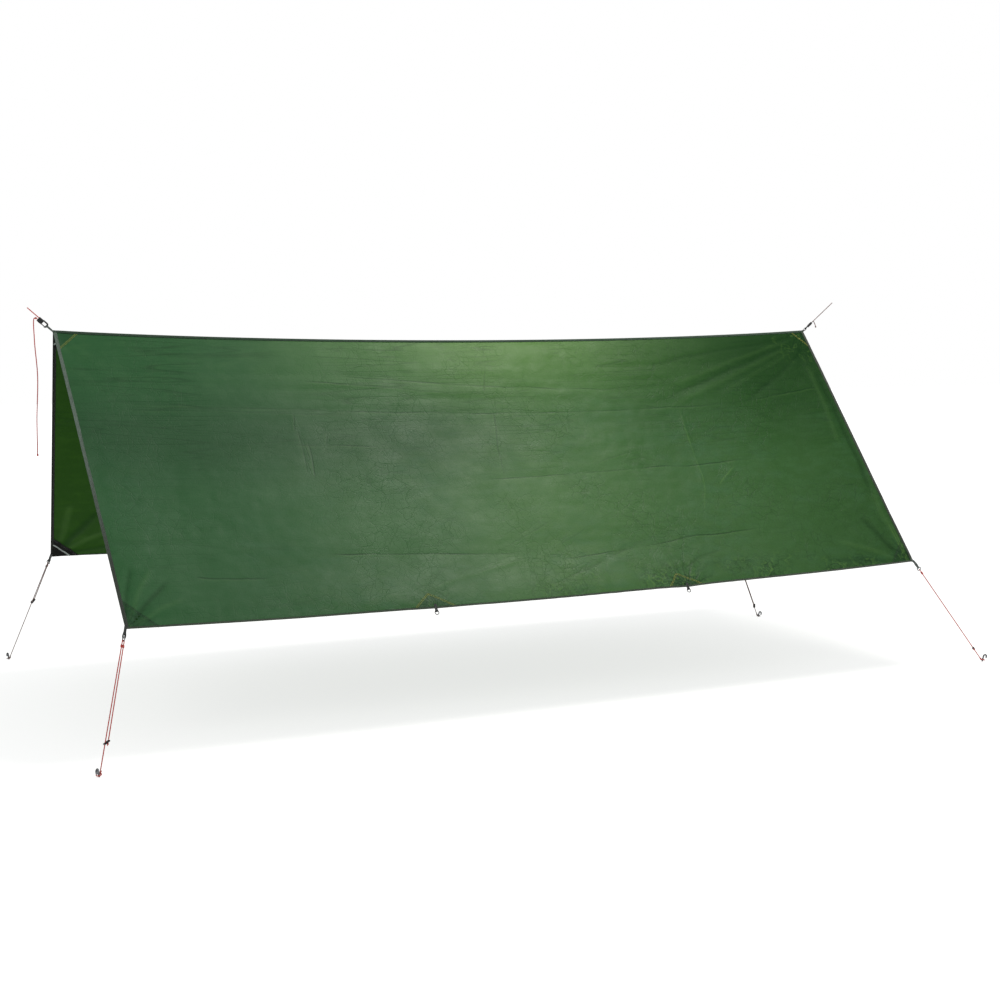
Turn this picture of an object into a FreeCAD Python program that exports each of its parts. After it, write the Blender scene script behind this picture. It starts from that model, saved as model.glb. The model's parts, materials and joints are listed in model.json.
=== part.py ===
import FreeCAD, Part
import math
import os

import Sketcher
from FreeCAD import Placement, Rotation, Vector

# Ridge tarp shelter: two sloping fabric panels joined at a ridge seam, pitched
# between two ridge lines and four guy lines. Millimetres, +Z up, origin on the
# ground under the middle of the ridge, +X along the ridge to the right, +Y to
# the back panel.

os.makedirs("parts", exist_ok=True)
doc = FreeCAD.newDocument("tarp_shelter")

# ------------------------------------------------------------ driving sizes
# alias, value, note
SIZES = [
    # overall
    ("ridge_height", 1287.0, "ridge seam above the ground"),
    ("ridge_length", 3000.0, "length of the ridge seam"),
    ("datum_offset", 1600.0, "panel datum, left of the middle of the ridge"),
    ("front_angle", 36.8, "front panel from the vertical, degrees"),
    ("back_angle", 40.82, "back panel from the vertical, degrees"),
    # panel outlines: distance right of the datum, and distance down the slope
    ("ridge_left_pos", 100.0, "left end of the ridge"),
    ("ridge_right_pos", 3100.0, "right end of the ridge"),
    ("front_left_pos", 174.9, "front hem, left corner"),
    ("front_left_drop", 1114.8, "front hem, left corner"),
    ("front_right_pos", 3138.4, "front hem, right corner"),
    ("front_right_drop", 1100.3, "front hem, right corner"),
    ("front_tie_left_pos", 1170.0, "front hem, left tie-out"),
    ("front_tie_left_drop", 1132.0, "front hem, left tie-out"),
    ("front_tie_right_pos", 2126.0, "front hem, right tie-out"),
    ("front_tie_right_drop", 1130.0, "front hem, right tie-out"),
    ("back_left_pos", 174.8, "back hem, left corner"),
    ("back_left_drop", 1101.8, "back hem, left corner"),
    ("back_right_pos", 3190.0, "back hem, right corner"),
    ("back_right_drop", 1100.7, "back hem, right corner"),
    ("back_tie_left_pos", 1140.0, "back hem, left tie-out"),
    ("back_tie_left_drop", 1118.0, "back hem, left tie-out"),
    ("back_tie_right_pos", 2140.0, "back hem, right tie-out"),
    ("back_tie_right_drop", 1118.0, "back hem, right tie-out"),
    # fabric, bindings and patches
    ("fabric_thick", 0.6, "coated fabric"),
    ("binding_width", 11.0, "side edge tape folded over the panel edge"),
    ("hem_width", 6.5, "hem tape folded over the panel edge"),
    ("binding_thick", 2.4, "edge tape, both layers and the fabric"),
    ("seam_gap", 8.0, "ridge axis to the first fabric"),
    ("seam_width", 3.0, "ridge seam tape, front to back"),
    ("seam_depth", 9.0, "ridge seam tape, top to bottom"),
    ("seam_below", 5.0, "ridge seam tape, part below the ridge axis"),
    ("patch_thick", 0.6, "reinforcing patch"),
    ("corner_patch", 94.0, "hem corner patch, along each edge"),
    ("ridge_patch", 88.0, "ridge end patch, along the ridge"),
    ("ridge_patch_drop", 72.0, "ridge end patch, down the edge"),
    ("tie_patch_half", 75.0, "tie-out patch, half its base"),
    ("tie_patch_rise", 58.0, "tie-out patch, hem tape to apex"),
    ("tie_patch_gap", 4.0, "tie-out patch, hem tape to base"),
    ("tie_patch_skew", 14.0, "tie-out patch, apex left of the tie-out"),
    # webbing and rings
    ("webbing_width", 8.0, "hem loop webbing"),
    ("ridge_webbing_width", 5.5, "ridge end loop webbing"),
    ("webbing_thick", 1.1, "loop webbing"),
    ("fold_radius", 3.9, "inside radius of a loop round its ring"),
    ("loop_tail", 15.0, "hem loop webbing lying on the panel"),
    ("loop_flat", 3.5, "hem loop webbing still flat beyond the hem"),
    ("ridge_loop_tail", 18.0, "ridge loop webbing beside the seam"),
    ("ridge_loop_flat", 1.0, "ridge loop webbing still flat beyond the seam"),
    ("ring_radius", 6.7, "ring, centre to centre of the wire"),
    ("ring_wire", 1.3, "ring wire radius"),
    # cord and sliders
    ("cord_radius", 1.7, "guy cord"),
    ("cord_wrap", 3.15, "cord centre line round the ring wire"),
    ("line_knot", 3.2, "knot at the eye, radius"),
    ("stopper_bead", 2.7, "stopper knot, radius"),
    ("tail_knot", 2.9, "knot at the end of a ridge tail, radius"),
    ("slider_length", 21.0, "slider bar"),
    ("slider_width", 9.0, "slider bar"),
    ("slider_thick", 5.0, "slider bar"),
    ("slider_round", 2.2, "slider bar, radius of the four cross edges"),
    ("slider_hole", 1.8, "slider hole radius"),
    ("slider_pitch", 13.0, "slider holes, centre to centre along the bar"),
    ("slider_tilt", 45.0, "slider bar to the plane square to the cord, degrees"),
    # pegs
    ("peg_shaft", 3.0, "peg shaft radius"),
    ("peg_below", 135.0, "eye to the end of the straight shaft"),
    ("peg_tip", 14.0, "peg point"),
    ("peg_tip_radius", 0.6, "peg point, blunt end"),
    ("peg_above", 14.0, "eye to the start of the hook"),
    ("peg_hook", 6.0, "peg hook, centre line radius"),
    ("peg_nib", 5.0, "straight end of the hook"),
    ("peg_lean", 15.0, "peg from the vertical, degrees"),
    ("eye_height", 6.0, "eye of the guy line above the ground"),
    ("eye_radius", 7.5, "eye of the guy line, centre line"),
    ("eye_to_knot", 0.8, "eye centre line to the knot"),
    # cord tensioner with a sprung hook
    ("hook_radius", 7.0, "hook, centre line"),
    ("hook_wire", 2.6, "hook section radius"),
    ("hook_overlap", 2.0, "hook root inside the block"),
    ("block_start", 18.0, "hook end to the block"),
    ("block_length", 19.0, "block"),
    ("block_width", 16.0, "block"),
    ("block_thick", 9.0, "block, over both cheeks"),
    ("block_round", 1.1, "block, edge radius"),
    ("block_slot", 4.2, "gap between the cheeks"),
    ("slot_floor", 1.8, "block left solid beside the slot"),
    ("gate_pin_at", 20.5, "gate pivot from the hook axis"),
    ("gate_side", 6.2, "gate and cam pivots off the centre line"),
    ("gate_arm", 12.9, "gate, pivot to tip"),
    ("gate_wire", 1.6, "gate section radius"),
    ("gate_pin", 1.0, "gate trunnion radius"),
    ("gate_hub", 1.7, "gate hub radius"),
    ("gate_hub_width", 3.6, "gate hub between the cheeks"),
    ("cam_at", 31.5, "cam pivot from the hook axis"),
    ("cam_hub", 2.2, "cam hub radius"),
    ("cam_width", 3.9, "cam between the cheeks"),
    ("cam_pin", 1.1, "cam pin radius"),
    ("cam_lever", 7.5, "cam lever, pivot to grip"),
    ("lever_thick", 2.6, "cam lever, across"),
    ("lever_offset", 0.2, "cam pivot to the inner face of the lever"),
    ("post_at", 26.0, "cord post from the hook axis"),
    ("post_side", -1.0, "cord post off the centre line"),
    ("post_radius", 1.4, "cord post"),
    ("running_gap", 0.08, "radial clearance of the small pivots"),
    ("pin_fit", 0.02, "radial clearance of the cam pin in the block"),
]
sheet = doc.addObject("Spreadsheet::Sheet", "Sizes")
for row, (alias, value, note) in enumerate(SIZES, 1):
    sheet.set("A%d" % row, alias)
    sheet.set("B%d" % row, "%.6g" % value)
    sheet.set("C%d" % row, note)
    sheet.setAlias("B%d" % row, alias)
doc.recompute()


def mm(alias):
    return float(sheet.get(alias))


class Size:
    """A size together with the spreadsheet expression that gives it."""

    def __init__(self, value, text):
        self.value, self.text = value, text

    def __add__(self, other):
        other = as_size(other)
        return Size(self.value + other.value, "(%s + %s)" % (self.text, other.text))

    def __sub__(self, other):
        other = as_size(other)
        return Size(self.value - other.value, "(%s - %s)" % (self.text, other.text))

    def __mul__(self, other):
        other = as_size(other)
        return Size(self.value * other.value, "(%s * %s)" % (self.text, other.text))


def as_size(value):
    if isinstance(value, Size):
        return value
    return Size(float(value), "(%.9g)" % float(value))


def cell(alias):
    return Size(mm(alias), "Sizes." + alias)


# ---------------------------------------------------------- document helpers
NODES = {}


def node(obj, label, placement=Placement()):
    """Name a finished piece and put it in its place."""
    obj.Label = label
    obj.Placement = placement
    NODES[label] = obj


def shape_node(label, shape):
    """A finished piece from a shape already in its place."""
    obj = doc.addObject("Part::Feature", label)
    obj.Shape = shape
    node(obj, label)


def bind(obj, **sizes):
    """Set properties and drive them from the sheet."""
    for prop, size in sizes.items():
        size = as_size(size)
        setattr(obj, prop, size.value)
        obj.setExpression(prop, size.text)


def primitive(kind, name, placement, **sizes):
    obj = doc.addObject("Part::" + kind, name)
    bind(obj, **sizes)
    obj.Placement = placement
    return obj


def cylinder(name, radius, height, base, rotation=Rotation()):
    return primitive(
        "Cylinder", name, Placement(base, rotation), Radius=radius, Height=height
    )


def centred_cylinder(name, radius, height, x, y):
    """A cylinder along Z, half of it on each side of the XY plane."""
    height = as_size(height)
    return cylinder(name, radius, height, Vector(x, y, -height.value / 2))


def box(name, length, width, height, corner):
    return primitive(
        "Box", name, Placement(corner, Rotation()), Length=length, Width=width, Height=height
    )


def fuse(name, shapes):
    obj = doc.addObject("Part::MultiFuse", name)
    obj.Shapes = shapes
    return obj


def cut(name, base, tool):
    obj = doc.addObject("Part::Cut", name)
    obj.Base = base
    obj.Tool = tool
    return obj


def new_sketch(body, role, name):
    """An empty sketch on one of the body's origin planes."""
    sketch = body.newObject("Sketcher::SketchObject", name)
    plane = next(o for o in body.Origin.OriginFeatures if o.Role == role)
    sketch.AttachmentSupport = [(plane, "")]
    sketch.MapMode = "FlatFace"
    return sketch


def drive(sketch, size, kind, *elements):
    """A dimension in a sketch, driven from the sheet."""
    index = sketch.addConstraint(Sketcher.Constraint(kind, *elements, size.value))
    sketch.setExpression("Constraints[%d]" % index, size.text)


def polygons(body, role, loops, lift=None):
    """A sketch of closed polygons, each vertex driven by the sheet."""
    sketch = new_sketch(body, role, body.Name + "_outline")
    if lift is not None:
        sketch.AttachmentOffset = Placement(Vector(0, 0, lift.value), Rotation())
        sketch.setExpression("AttachmentOffset.Base.z", lift.text)
    first = 0
    for loop in loops:
        loop = [(as_size(x), as_size(y)) for x, y in loop]
        count = len(loop)
        points = [Vector(x.value, y.value, 0) for x, y in loop]
        for i in range(count):
            sketch.addGeometry(Part.LineSegment(points[i], points[(i + 1) % count]), False)
        for i in range(count):
            sketch.addConstraint(
                Sketcher.Constraint("Coincident", first + i, 2, first + (i + 1) % count, 1)
            )
        for i, (x, y) in enumerate(loop):
            drive(sketch, x, "DistanceX", -1, 1, first + i, 1)
            drive(sketch, y, "DistanceY", -1, 1, first + i, 1)
        first += count
    return sketch


def plate(label, loops, thick, lift, placement):
    """A flat sheet with polygon outlines, from lift upwards."""
    body = doc.addObject("PartDesign::Body", label)
    body.AllowCompound = True
    sketch = polygons(body, "XY_Plane", loops, lift)
    pad = body.newObject("PartDesign::Pad", label + "_pad")
    pad.Profile = sketch
    bind(pad, Length=thick)
    body.Tip = pad
    node(body, label, placement)


# ---------------------------------------------------------- geometry helpers
def unit(vector):
    vector = Vector(vector)
    vector.normalize()
    return vector


def square_to(vector, axis):
    """The direction of a vector with its part along a unit axis removed."""
    return unit(vector - axis * vector.dot(axis))


def smooth(s):
    return s * s * (3 - 2 * s)


def frame_rotation(x, z):
    """Rotation that takes local X and Z to the two world directions."""
    x = unit(x)
    z = square_to(z, x)
    y = z.cross(x)
    return Rotation(
        FreeCAD.Matrix(x.x, y.x, z.x, 0, x.y, y.y, z.y, 0, x.z, y.z, z.z, 0, 0, 0, 0, 1)
    )


def arc(start, middle, end):
    return Part.Arc(start, middle, end).toShape()


# ---------------------------------------------------------------- the panels
RIDGE_HEIGHT = mm("ridge_height")

# local Z direction of each panel's inner face
INNER = {"front": 1, "back": -1}

PATCH_INSET = 2  # corner patch to the tapes
RIDGE_INSET = 1  # ridge end patch below the first fabric
LEFT_SLANT = 3  # upper point of the left hem patch, left of the inner hem corner
RIGHT_SLANT = 3.5  # upper point of the right hem patch, left of the corner, fixed part
RIGHT_SLANT_SHARE = 0.09  # and the part that follows the slant of the right edge
RIDGE_SLANT = 10  # lower point of the left ridge patch, right of the inner ridge corner


def panel_place(side):
    """Panel frame: X along the ridge from the datum, Y down the slope."""
    if side == "front":
        angle = -(90 + mm("front_angle"))
    else:
        angle = -(90 - mm("back_angle"))
    return Placement(
        Vector(-mm("datum_offset"), 0, RIDGE_HEIGHT), Rotation(Vector(1, 0, 0), angle)
    )


def hem_point(side, which):
    """World point of a hem corner or tie-out."""
    key = side + "_" + which
    return panel_place(side).multVec(Vector(mm(key + "_pos"), mm(key + "_drop"), 0))


def outward(side):
    return panel_place(side).Rotation.multVec(Vector(0, 0, -INNER[side]))


def panel(side):
    """Fabric, edge tapes and patches of one side."""
    place = panel_place(side)
    binding, hem, gap = cell("binding_width"), cell("hem_width"), cell("seam_gap")
    ridge_left, ridge_right = cell("ridge_left_pos"), cell("ridge_right_pos")

    def at(which):
        key = side + "_" + which
        return cell(key + "_pos"), cell(key + "_drop")

    # outer edge of the tapes
    left, right = at("left"), at("right")
    ties = [at("tie_left"), at("tie_right")]
    top_left, top_right = (ridge_left, gap), (ridge_right, gap)
    # inner edge of the tapes
    in_top_left, in_top_right = (ridge_left + binding, gap), (ridge_right - binding, gap)
    in_left = (left[0] + binding, left[1] - hem)
    in_right = (right[0] - binding, right[1] - hem)
    in_ties = [(x, drop - hem) for x, drop in ties]

    half_fabric = cell("fabric_thick") * 0.5
    plate(
        side + "_panel",
        [[in_top_left, in_top_right, in_right, in_ties[1], in_ties[0], in_left]],
        cell("fabric_thick"),
        half_fabric * -1,
        place,
    )
    tapes = {
        "left": [top_left, in_top_left, in_left, left],
        "right": [in_top_right, top_right, right, in_right],
        "hem": [left, in_left, *in_ties, in_right, right, ties[1], ties[0]],
    }
    thick = cell("binding_thick")
    for edge, outline in tapes.items():
        plate("%s_%s_binding" % (side, edge), [outline], thick, thick * 0.5 * -1, place)

    # patches lie against the inner face of the fabric
    patch = cell("patch_thick")
    patch_lift = half_fabric if INNER[side] > 0 else (half_fabric + patch) * -1
    size = cell("corner_patch")
    along, down = cell("ridge_patch"), cell("ridge_patch_drop")
    right_slant = (right[0] - ridge_right) * RIGHT_SLANT_SHARE
    corner_patches = [
        [
            (in_left[0] + PATCH_INSET, in_left[1] - PATCH_INSET),
            (in_left[0] + size, in_left[1] - PATCH_INSET),
            (in_left[0] - LEFT_SLANT, in_left[1] - size),
        ],
        [
            (in_right[0] - RIGHT_SLANT - right_slant, in_right[1] - size),
            (in_right[0] - size, in_right[1] - PATCH_INSET),
            (in_right[0] - PATCH_INSET, in_right[1] - PATCH_INSET),
        ],
        [
            (in_top_left[0] + PATCH_INSET, gap + RIDGE_INSET),
            (in_top_left[0] + RIDGE_SLANT, gap + down),
            (in_top_left[0] + along, gap + RIDGE_INSET),
        ],
        [
            (in_top_right[0] - PATCH_INSET, gap + RIDGE_INSET),
            (in_top_right[0] - along, gap + RIDGE_INSET),
            (in_top_right[0] - PATCH_INSET, gap + down),
        ],
    ]
    plate(side + "_corner_patches", corner_patches, patch, patch_lift, place)

    half, base = cell("tie_patch_half"), cell("tie_patch_gap")
    rise, skew = cell("tie_patch_rise"), cell("tie_patch_skew")
    tie_patches = [
        [(x - half, drop - base), (x - skew, drop - rise), (x + half, drop - base)]
        for x, drop in in_ties
    ]
    plate(side + "_tieout_patches", tie_patches, patch, patch_lift, place)


def ridge_seam():
    """Seam tape standing on edge in the clear space round the ridge axis."""
    corner = Vector(
        -mm("ridge_length") / 2, -mm("seam_width") / 2, RIDGE_HEIGHT - mm("seam_below")
    )
    seam = box(
        "ridge_seam", cell("ridge_length"), cell("seam_width"), cell("seam_depth"), corner
    )
    node(seam, "ridge_seam", seam.Placement)


panel("front")
panel("back")
ridge_seam()

# ------------------------------------------------------------ webbing loops
WEBBING_THICK = mm("webbing_thick")
FOLD = mm("fold_radius") + WEBBING_THICK / 2  # centre line of the fold
# centre of a leg from the middle of the tape it lies on
HEM_SPREAD = mm("binding_thick") / 2 + 0.05 + WEBBING_THICK / 2
SEAM_SPREAD = mm("seam_width") / 2 + 0.1 + WEBBING_THICK / 2
# stations along a leg, as shares of its length
HEM_LEG_SHARES = (0.12, 0.25, 0.45, 0.65, 0.82, 1.0)
RIDGE_LEG_SHARES = (0.3, 0.5, 0.7, 0.85, 1.0)
FOLD_STEPS = 8


def ribbon(stations, width):
    """A closed solid of flat facets through cross-sections of a webbing.

    Each station is its centre, the direction across and the face normal.
    """
    rows = []
    for centre, across, normal in stations:
        side, face = across * (width / 2), normal * (WEBBING_THICK / 2)
        rows.append(
            [
                centre + side + face,
                centre - side + face,
                centre - side - face,
                centre + side - face,
            ]
        )
    faces = []

    def triangle(a, b, c):
        # a facet without area is left out
        if (b - a).cross(c - a).Length > 1e-9:
            faces.append(Part.Face(Part.makePolygon([a, b, c, a])))

    for low, high in zip(rows, rows[1:]):
        for i in range(4):
            j = (i + 1) % 4
            triangle(low[i], low[j], high[j])
            triangle(low[i], high[j], high[i])
    for row in (rows[0], rows[-1]):
        triangle(row[0], row[1], row[2])
        triangle(row[0], row[2], row[3])
    shell = Part.makeShell(faces)
    shell.sewShape()
    solid = Part.makeSolid(shell)
    if solid.Volume < 0:
        solid.reverse()
    return solid


def folded_loop(leg, direction, width):
    """A loop of two mirrored legs, joined by a half-round fold at their end.

    Each leg station is its centre, the direction across, the face normal and
    the offset of the webbing along that normal.
    """
    stations = [(c + normal * off, across, normal) for c, across, normal, off in leg]
    centre, across, normal, _ = leg[-1]
    for step in range(1, FOLD_STEPS):
        angle = math.pi * step / FOLD_STEPS
        radial = normal * math.cos(angle) + direction * math.sin(angle)
        stations.append((centre + radial * FOLD, across, radial))
    stations += [(c - n * off, across, n * -1) for c, across, n, off in reversed(leg)]
    return ribbon(stations, width)


def hem_loop(start, tail_dir, panel_normal, direction, length, twist):
    """A hem loop: its solid, the centre of its fold and the normal there."""
    normal0 = square_to(panel_normal, direction)
    across0 = direction.cross(normal0)
    tail_across = tail_dir.cross(panel_normal)
    if tail_across.dot(across0) < 0:
        tail_across = tail_across * -1
    # the legs stay flat until they are clear of the bound edge
    clear = start + tail_dir * mm("loop_flat")
    leg = [
        (start - tail_dir * mm("loop_tail"), tail_across, panel_normal, HEM_SPREAD),
        (clear, tail_across, panel_normal, HEM_SPREAD),
    ]
    for s in HEM_LEG_SHARES:
        angle = math.radians(twist) * smooth(s)
        normal = normal0 * math.cos(angle) + across0 * math.sin(angle)
        offset = HEM_SPREAD + (FOLD - HEM_SPREAD) * smooth(s)
        leg.append((clear + direction * (length * s), direction.cross(normal), normal, offset))
    solid = folded_loop(leg, direction, mm("webbing_width"))
    return solid, leg[-1][0], leg[-1][2]


def ring(name, fold, direction, normal):
    """A wire ring held in the fold of a loop."""
    label = name + "_ring"
    centre = fold + direction * mm("ring_radius")
    place = Placement(centre, Rotation(Vector(0, 0, 1), normal))
    sizes = dict(Radius1=cell("ring_radius"), Radius2=cell("ring_wire"))
    node(primitive("Torus", label, place, **sizes), label, place)


# ---------------------------------------------------------------- guy lines
CORD = mm("cord_radius")
WRAP = mm("cord_wrap")
TILT = math.radians(mm("slider_tilt"))
# slider holes, centre to centre square to the cord
HOLE_SPACING = mm("slider_pitch") * math.cos(TILT)
# half the length of a slider hole, along the cord
HOLE_HALF = mm("slider_thick") / 2 / math.cos(TILT)

STRAND_START = 0.2  # start of the free strand past the ring wire
STRAND_GAP = 2.6  # end of the free strand before the slider hole
STUB_BEFORE = 2.2  # stub of the stopper knot, before the hole
STUB_BEYOND = 2.4  # and beyond the hole
STUB_SLACK = 0.02  # stub thinner than the cord, on the radius
BEAD_OFFSET = 2.5  # end of the stub to the centre of the bead


def tube(edges):
    """A round cord along tangent edges."""
    path = Part.Wire(edges)
    first = path.OrderedEdges[0]
    start = first.valueAt(first.FirstParameter)
    direction = first.tangentAt(first.FirstParameter)
    profile = Part.Wire([Part.makeCircle(CORD, start, direction)])
    return path.makePipeShell([profile], True, True)


def guy_cord(name, far, end, knot, eye, direction, side_dir, peg_axis):
    """Cord round the ring wire and down to a knot and the eye round the peg."""
    cord = tube(
        [
            arc(far + side_dir * WRAP, far - direction * WRAP, end),
            Part.makeLine(end, knot),
        ]
    )
    hoop = Part.makeTorus(mm("eye_radius"), CORD, eye, peg_axis)
    cord = cord.fuse([hoop, Part.makeSphere(mm("line_knot"), knot, direction)])
    shape_node(name + "_guy_line", cord.Solids[0] if len(cord.Solids) == 1 else cord)


def slider(name, place):
    """A bar tilted across both strands, drilled along the cord.

    Local Z points back to the ring, local X from the main strand to the free one.
    """
    body = doc.addObject("PartDesign::Body", name + "_slider")
    cos, sin = math.cos(TILT), math.sin(TILT)
    half_length, half_thick = cell("slider_length") * 0.5, cell("slider_thick") * 0.5
    middle = cell("slider_pitch") * (0.5 * cos)
    outline = [
        (
            middle + half_length * (u * cos) - half_thick * (v * sin),
            middle * (sin / cos) + half_length * (u * sin) + half_thick * (v * cos),
        )
        for u, v in ((-1, -1), (1, -1), (1, 1), (-1, 1))
    ]
    sketch = polygons(body, "XZ_Plane", [outline])
    pad = body.newObject("PartDesign::Pad", name + "_bar")
    pad.Profile = sketch
    bind(pad, Length=cell("slider_width"))
    pad.Midplane = True
    doc.recompute()

    # round the four edges that run across the bar, along local Y
    cross_edges = [
        "Edge%d" % i
        for i, edge in enumerate(pad.Shape.Edges, 1)
        if abs(edge.tangentAt(edge.FirstParameter).y) > 0.99
    ]
    fillet = body.newObject("PartDesign::Fillet", name + "_round")
    fillet.Base = (pad, cross_edges)
    fillet.Radius = mm("slider_round")

    # main strand hole at the origin, free strand hole on the X axis
    holes = new_sketch(body, "XY_Plane", name + "_holes")
    radius = cell("slider_hole")
    for i, x in enumerate((as_size(0.0), cell("slider_pitch") * cos)):
        holes.addGeometry(
            Part.Circle(Vector(x.value, 0, 0), Vector(0, 0, 1), radius.value), False
        )
        drive(holes, radius, "Radius", i)
        if i:
            drive(holes, x, "DistanceX", -1, 1, i, 3)
            holes.addConstraint(Sketcher.Constraint("PointOnObject", i, 3, -1))
        else:
            holes.addConstraint(Sketcher.Constraint("Coincident", i, 3, -1, 1))
    drill = body.newObject("PartDesign::Pocket", name + "_drill")
    drill.Profile = holes
    drill.Type = 1  # through all
    drill.Midplane = True
    body.Tip = drill
    node(body, name + "_slider", place)


def free_strand(name, start, hole, direction):
    """The strand from the ring to the slider's second hole."""
    stop = hole - direction * (HOLE_HALF + STRAND_GAP)
    shape_node(name + "_free_strand", tube([Part.makeLine(start, stop)]))


def stopper_knot(name, hole, direction):
    """A bead with its stub through the slider's second hole."""
    stub = Part.makeCylinder(
        CORD - STUB_SLACK,
        2 * HOLE_HALF + STUB_BEFORE + STUB_BEYOND,
        hole - direction * (HOLE_HALF + STUB_BEFORE),
        direction,
    )
    bead_at = hole + direction * (HOLE_HALF + STUB_BEYOND + BEAD_OFFSET)
    bead = Part.makeSphere(mm("stopper_bead"), bead_at, direction)
    shape_node(name + "_stopper_knot", stub.fuse([bead]).Solids[0])


def peg(name, place):
    """Straight shaft, point and open hook; local origin at the eye, Z up the shaft."""
    shaft_radius, hook = cell("peg_shaft"), cell("peg_hook")
    below, above, nib_length = mm("peg_below"), mm("peg_above"), mm("peg_nib")
    prefix = name + "_peg"
    shaft = cylinder(
        prefix + "_cylinder",
        shaft_radius,
        cell("peg_below") + cell("peg_above"),
        Vector(0, 0, -below),
    )
    point = primitive(
        "Cone",
        prefix + "_cone",
        Placement(Vector(0, 0, -below - mm("peg_tip")), Rotation()),
        Radius1=cell("peg_tip_radius"),
        Radius2=shaft_radius,
        Height=cell("peg_tip"),
    )
    bend = primitive(
        "Torus",
        prefix + "_torus",
        Placement(Vector(hook.value, 0, above), Rotation(Vector(1, 0, 0), 90)),
        Radius1=hook,
        Radius2=shaft_radius,
        Angle3=180.0,
    )
    nib = cylinder(
        prefix + "_cylinder",
        shaft_radius,
        cell("peg_nib"),
        Vector(2 * hook.value, 0, above - nib_length),
    )
    node(fuse(prefix, [shaft, point, bend, nib]), prefix, place)


def guy_line(side, which, peg_xy, lean_to, strap, twist, slider_at, hand):
    """Ring, cord, slider, knot and peg of one hem corner; returns its loop."""
    name = side + "_" + which
    corner = hem_point(side, which)
    panel_normal = outward(side)
    lean = math.radians(mm("peg_lean"))
    lean_dir = unit(Vector(*lean_to, 0))
    peg_z = lean_dir * math.sin(lean) + Vector(0, 0, math.cos(lean))
    peg_x = lean_dir * math.cos(lean) - Vector(0, 0, math.sin(lean))
    eye_to_knot = mm("eye_radius") + mm("eye_to_knot")
    aim = Vector(*peg_xy, mm("eye_height")) - peg_x * eye_to_knot
    direction = unit(aim - corner)
    tail_dir = square_to(direction, panel_normal)
    loop, fold, normal = hem_loop(corner, tail_dir, panel_normal, direction, strap, twist)
    ring(name, fold, direction, normal)

    # the main strand leaves one side of the ring, the free strand the other
    side_dir = normal * hand
    far = fold + direction * (2 * mm("ring_radius"))
    end = far - side_dir * WRAP
    knot = end + direction * (aim - end).dot(direction)
    eye = knot + peg_x * eye_to_knot
    guy_cord(name, far, end, knot, eye, direction, side_dir, peg_z)

    slider_pos = end + direction * (slider_at - (end - corner).dot(direction))
    slider(name, Placement(slider_pos, frame_rotation(side_dir, direction * -1)))
    hole = slider_pos + side_dir * HOLE_SPACING - direction * (HOLE_SPACING * math.tan(TILT))
    free_strand(name, far + side_dir * WRAP + direction * STRAND_START, hole, direction)
    stopper_knot(name, hole, direction)
    peg(name, Placement(eye, frame_rotation(peg_x, peg_z)))
    return loop


# peg_xy: eye on the ground plan; lean_to: way the peg head leans; strap: loop length;
# twist: loop turn in degrees; slider_at: distance from the corner along the cord;
# hand: which side of the ring the free strand is on
GUY_LINES = {
    "front": [
        dict(which="left", peg_xy=(-1542, -828), lean_to=(-0.59, -0.81),
             strap=21.0, twist=62, slider_at=345.0, hand=-1),
        dict(which="right", peg_xy=(1850, -700), lean_to=(0.97, -0.25),
             strap=27.0, twist=52, slider_at=448.0, hand=1),
    ],
    "back": [
        dict(which="left", peg_xy=(-1540, 1120), lean_to=(-0.30, 0.95),
             strap=20.0, twist=50, slider_at=262.0, hand=1),
        dict(which="right", peg_xy=(1680, 560), lean_to=(0.32, -0.95),
             strap=20.0, twist=35, slider_at=440.0, hand=1),
    ],
}
for side, lines in GUY_LINES.items():
    loops = [guy_line(side, **line) for line in lines]
    shape_node(side + "_corner_loops", Part.makeCompound(loops))

# ----------------------------------------------------------------- tie-outs
SAG = 0.3  # how far a tie-out hangs below the line of the slope
TIE_STRAPS = {
    "front": {"tie_left": 4.0, "tie_right": 2.0},
    "back": {"tie_left": 4.0, "tie_right": 4.0},
}


def tie_out(side, which, strap):
    """A hem loop with its loose ring; returns the loop."""
    slope = unit(panel_place(side).Rotation.multVec(Vector(0, 1, 0)))
    direction = unit(slope + Vector(0, 0, -SAG))
    loop, fold, normal = hem_loop(
        hem_point(side, which), slope, outward(side), direction, strap, twist=0
    )
    ring(side + "_" + which, fold, direction, normal)
    return loop


for side, straps in TIE_STRAPS.items():
    loops = [tie_out(side, which, strap) for which, strap in straps.items()]
    shape_node(side + "_tieout_loops", Part.makeCompound(loops))

# --------------------------------------------------- ridge ends and tensioners
# Tensioner frame: origin at the loop's fold, X out along the ridge line,
# Z square to the cheeks, pivots on the +Y side.
PIVOT_Y = mm("gate_side")
BLOCK_START = mm("block_start")
POST_X, POST_Y = mm("post_at"), mm("post_side")
CORD_TURN = mm("post_radius") + CORD + 0.1  # cord centre line round the post
CORD_EXIT = BLOCK_START + mm("block_length") + 2.3  # end of the cord outside the block
TAIL_GAP = 0.75  # end of the cord to the start of the tail
TAIL_LEAD = 12.0  # end of the cord to the tail's first bend
TAIL_BEND = 24.0  # longest run of a bend to each side of its corner
VOID_EXTRA = 2.0  # extra length of a void, half at each end


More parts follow.
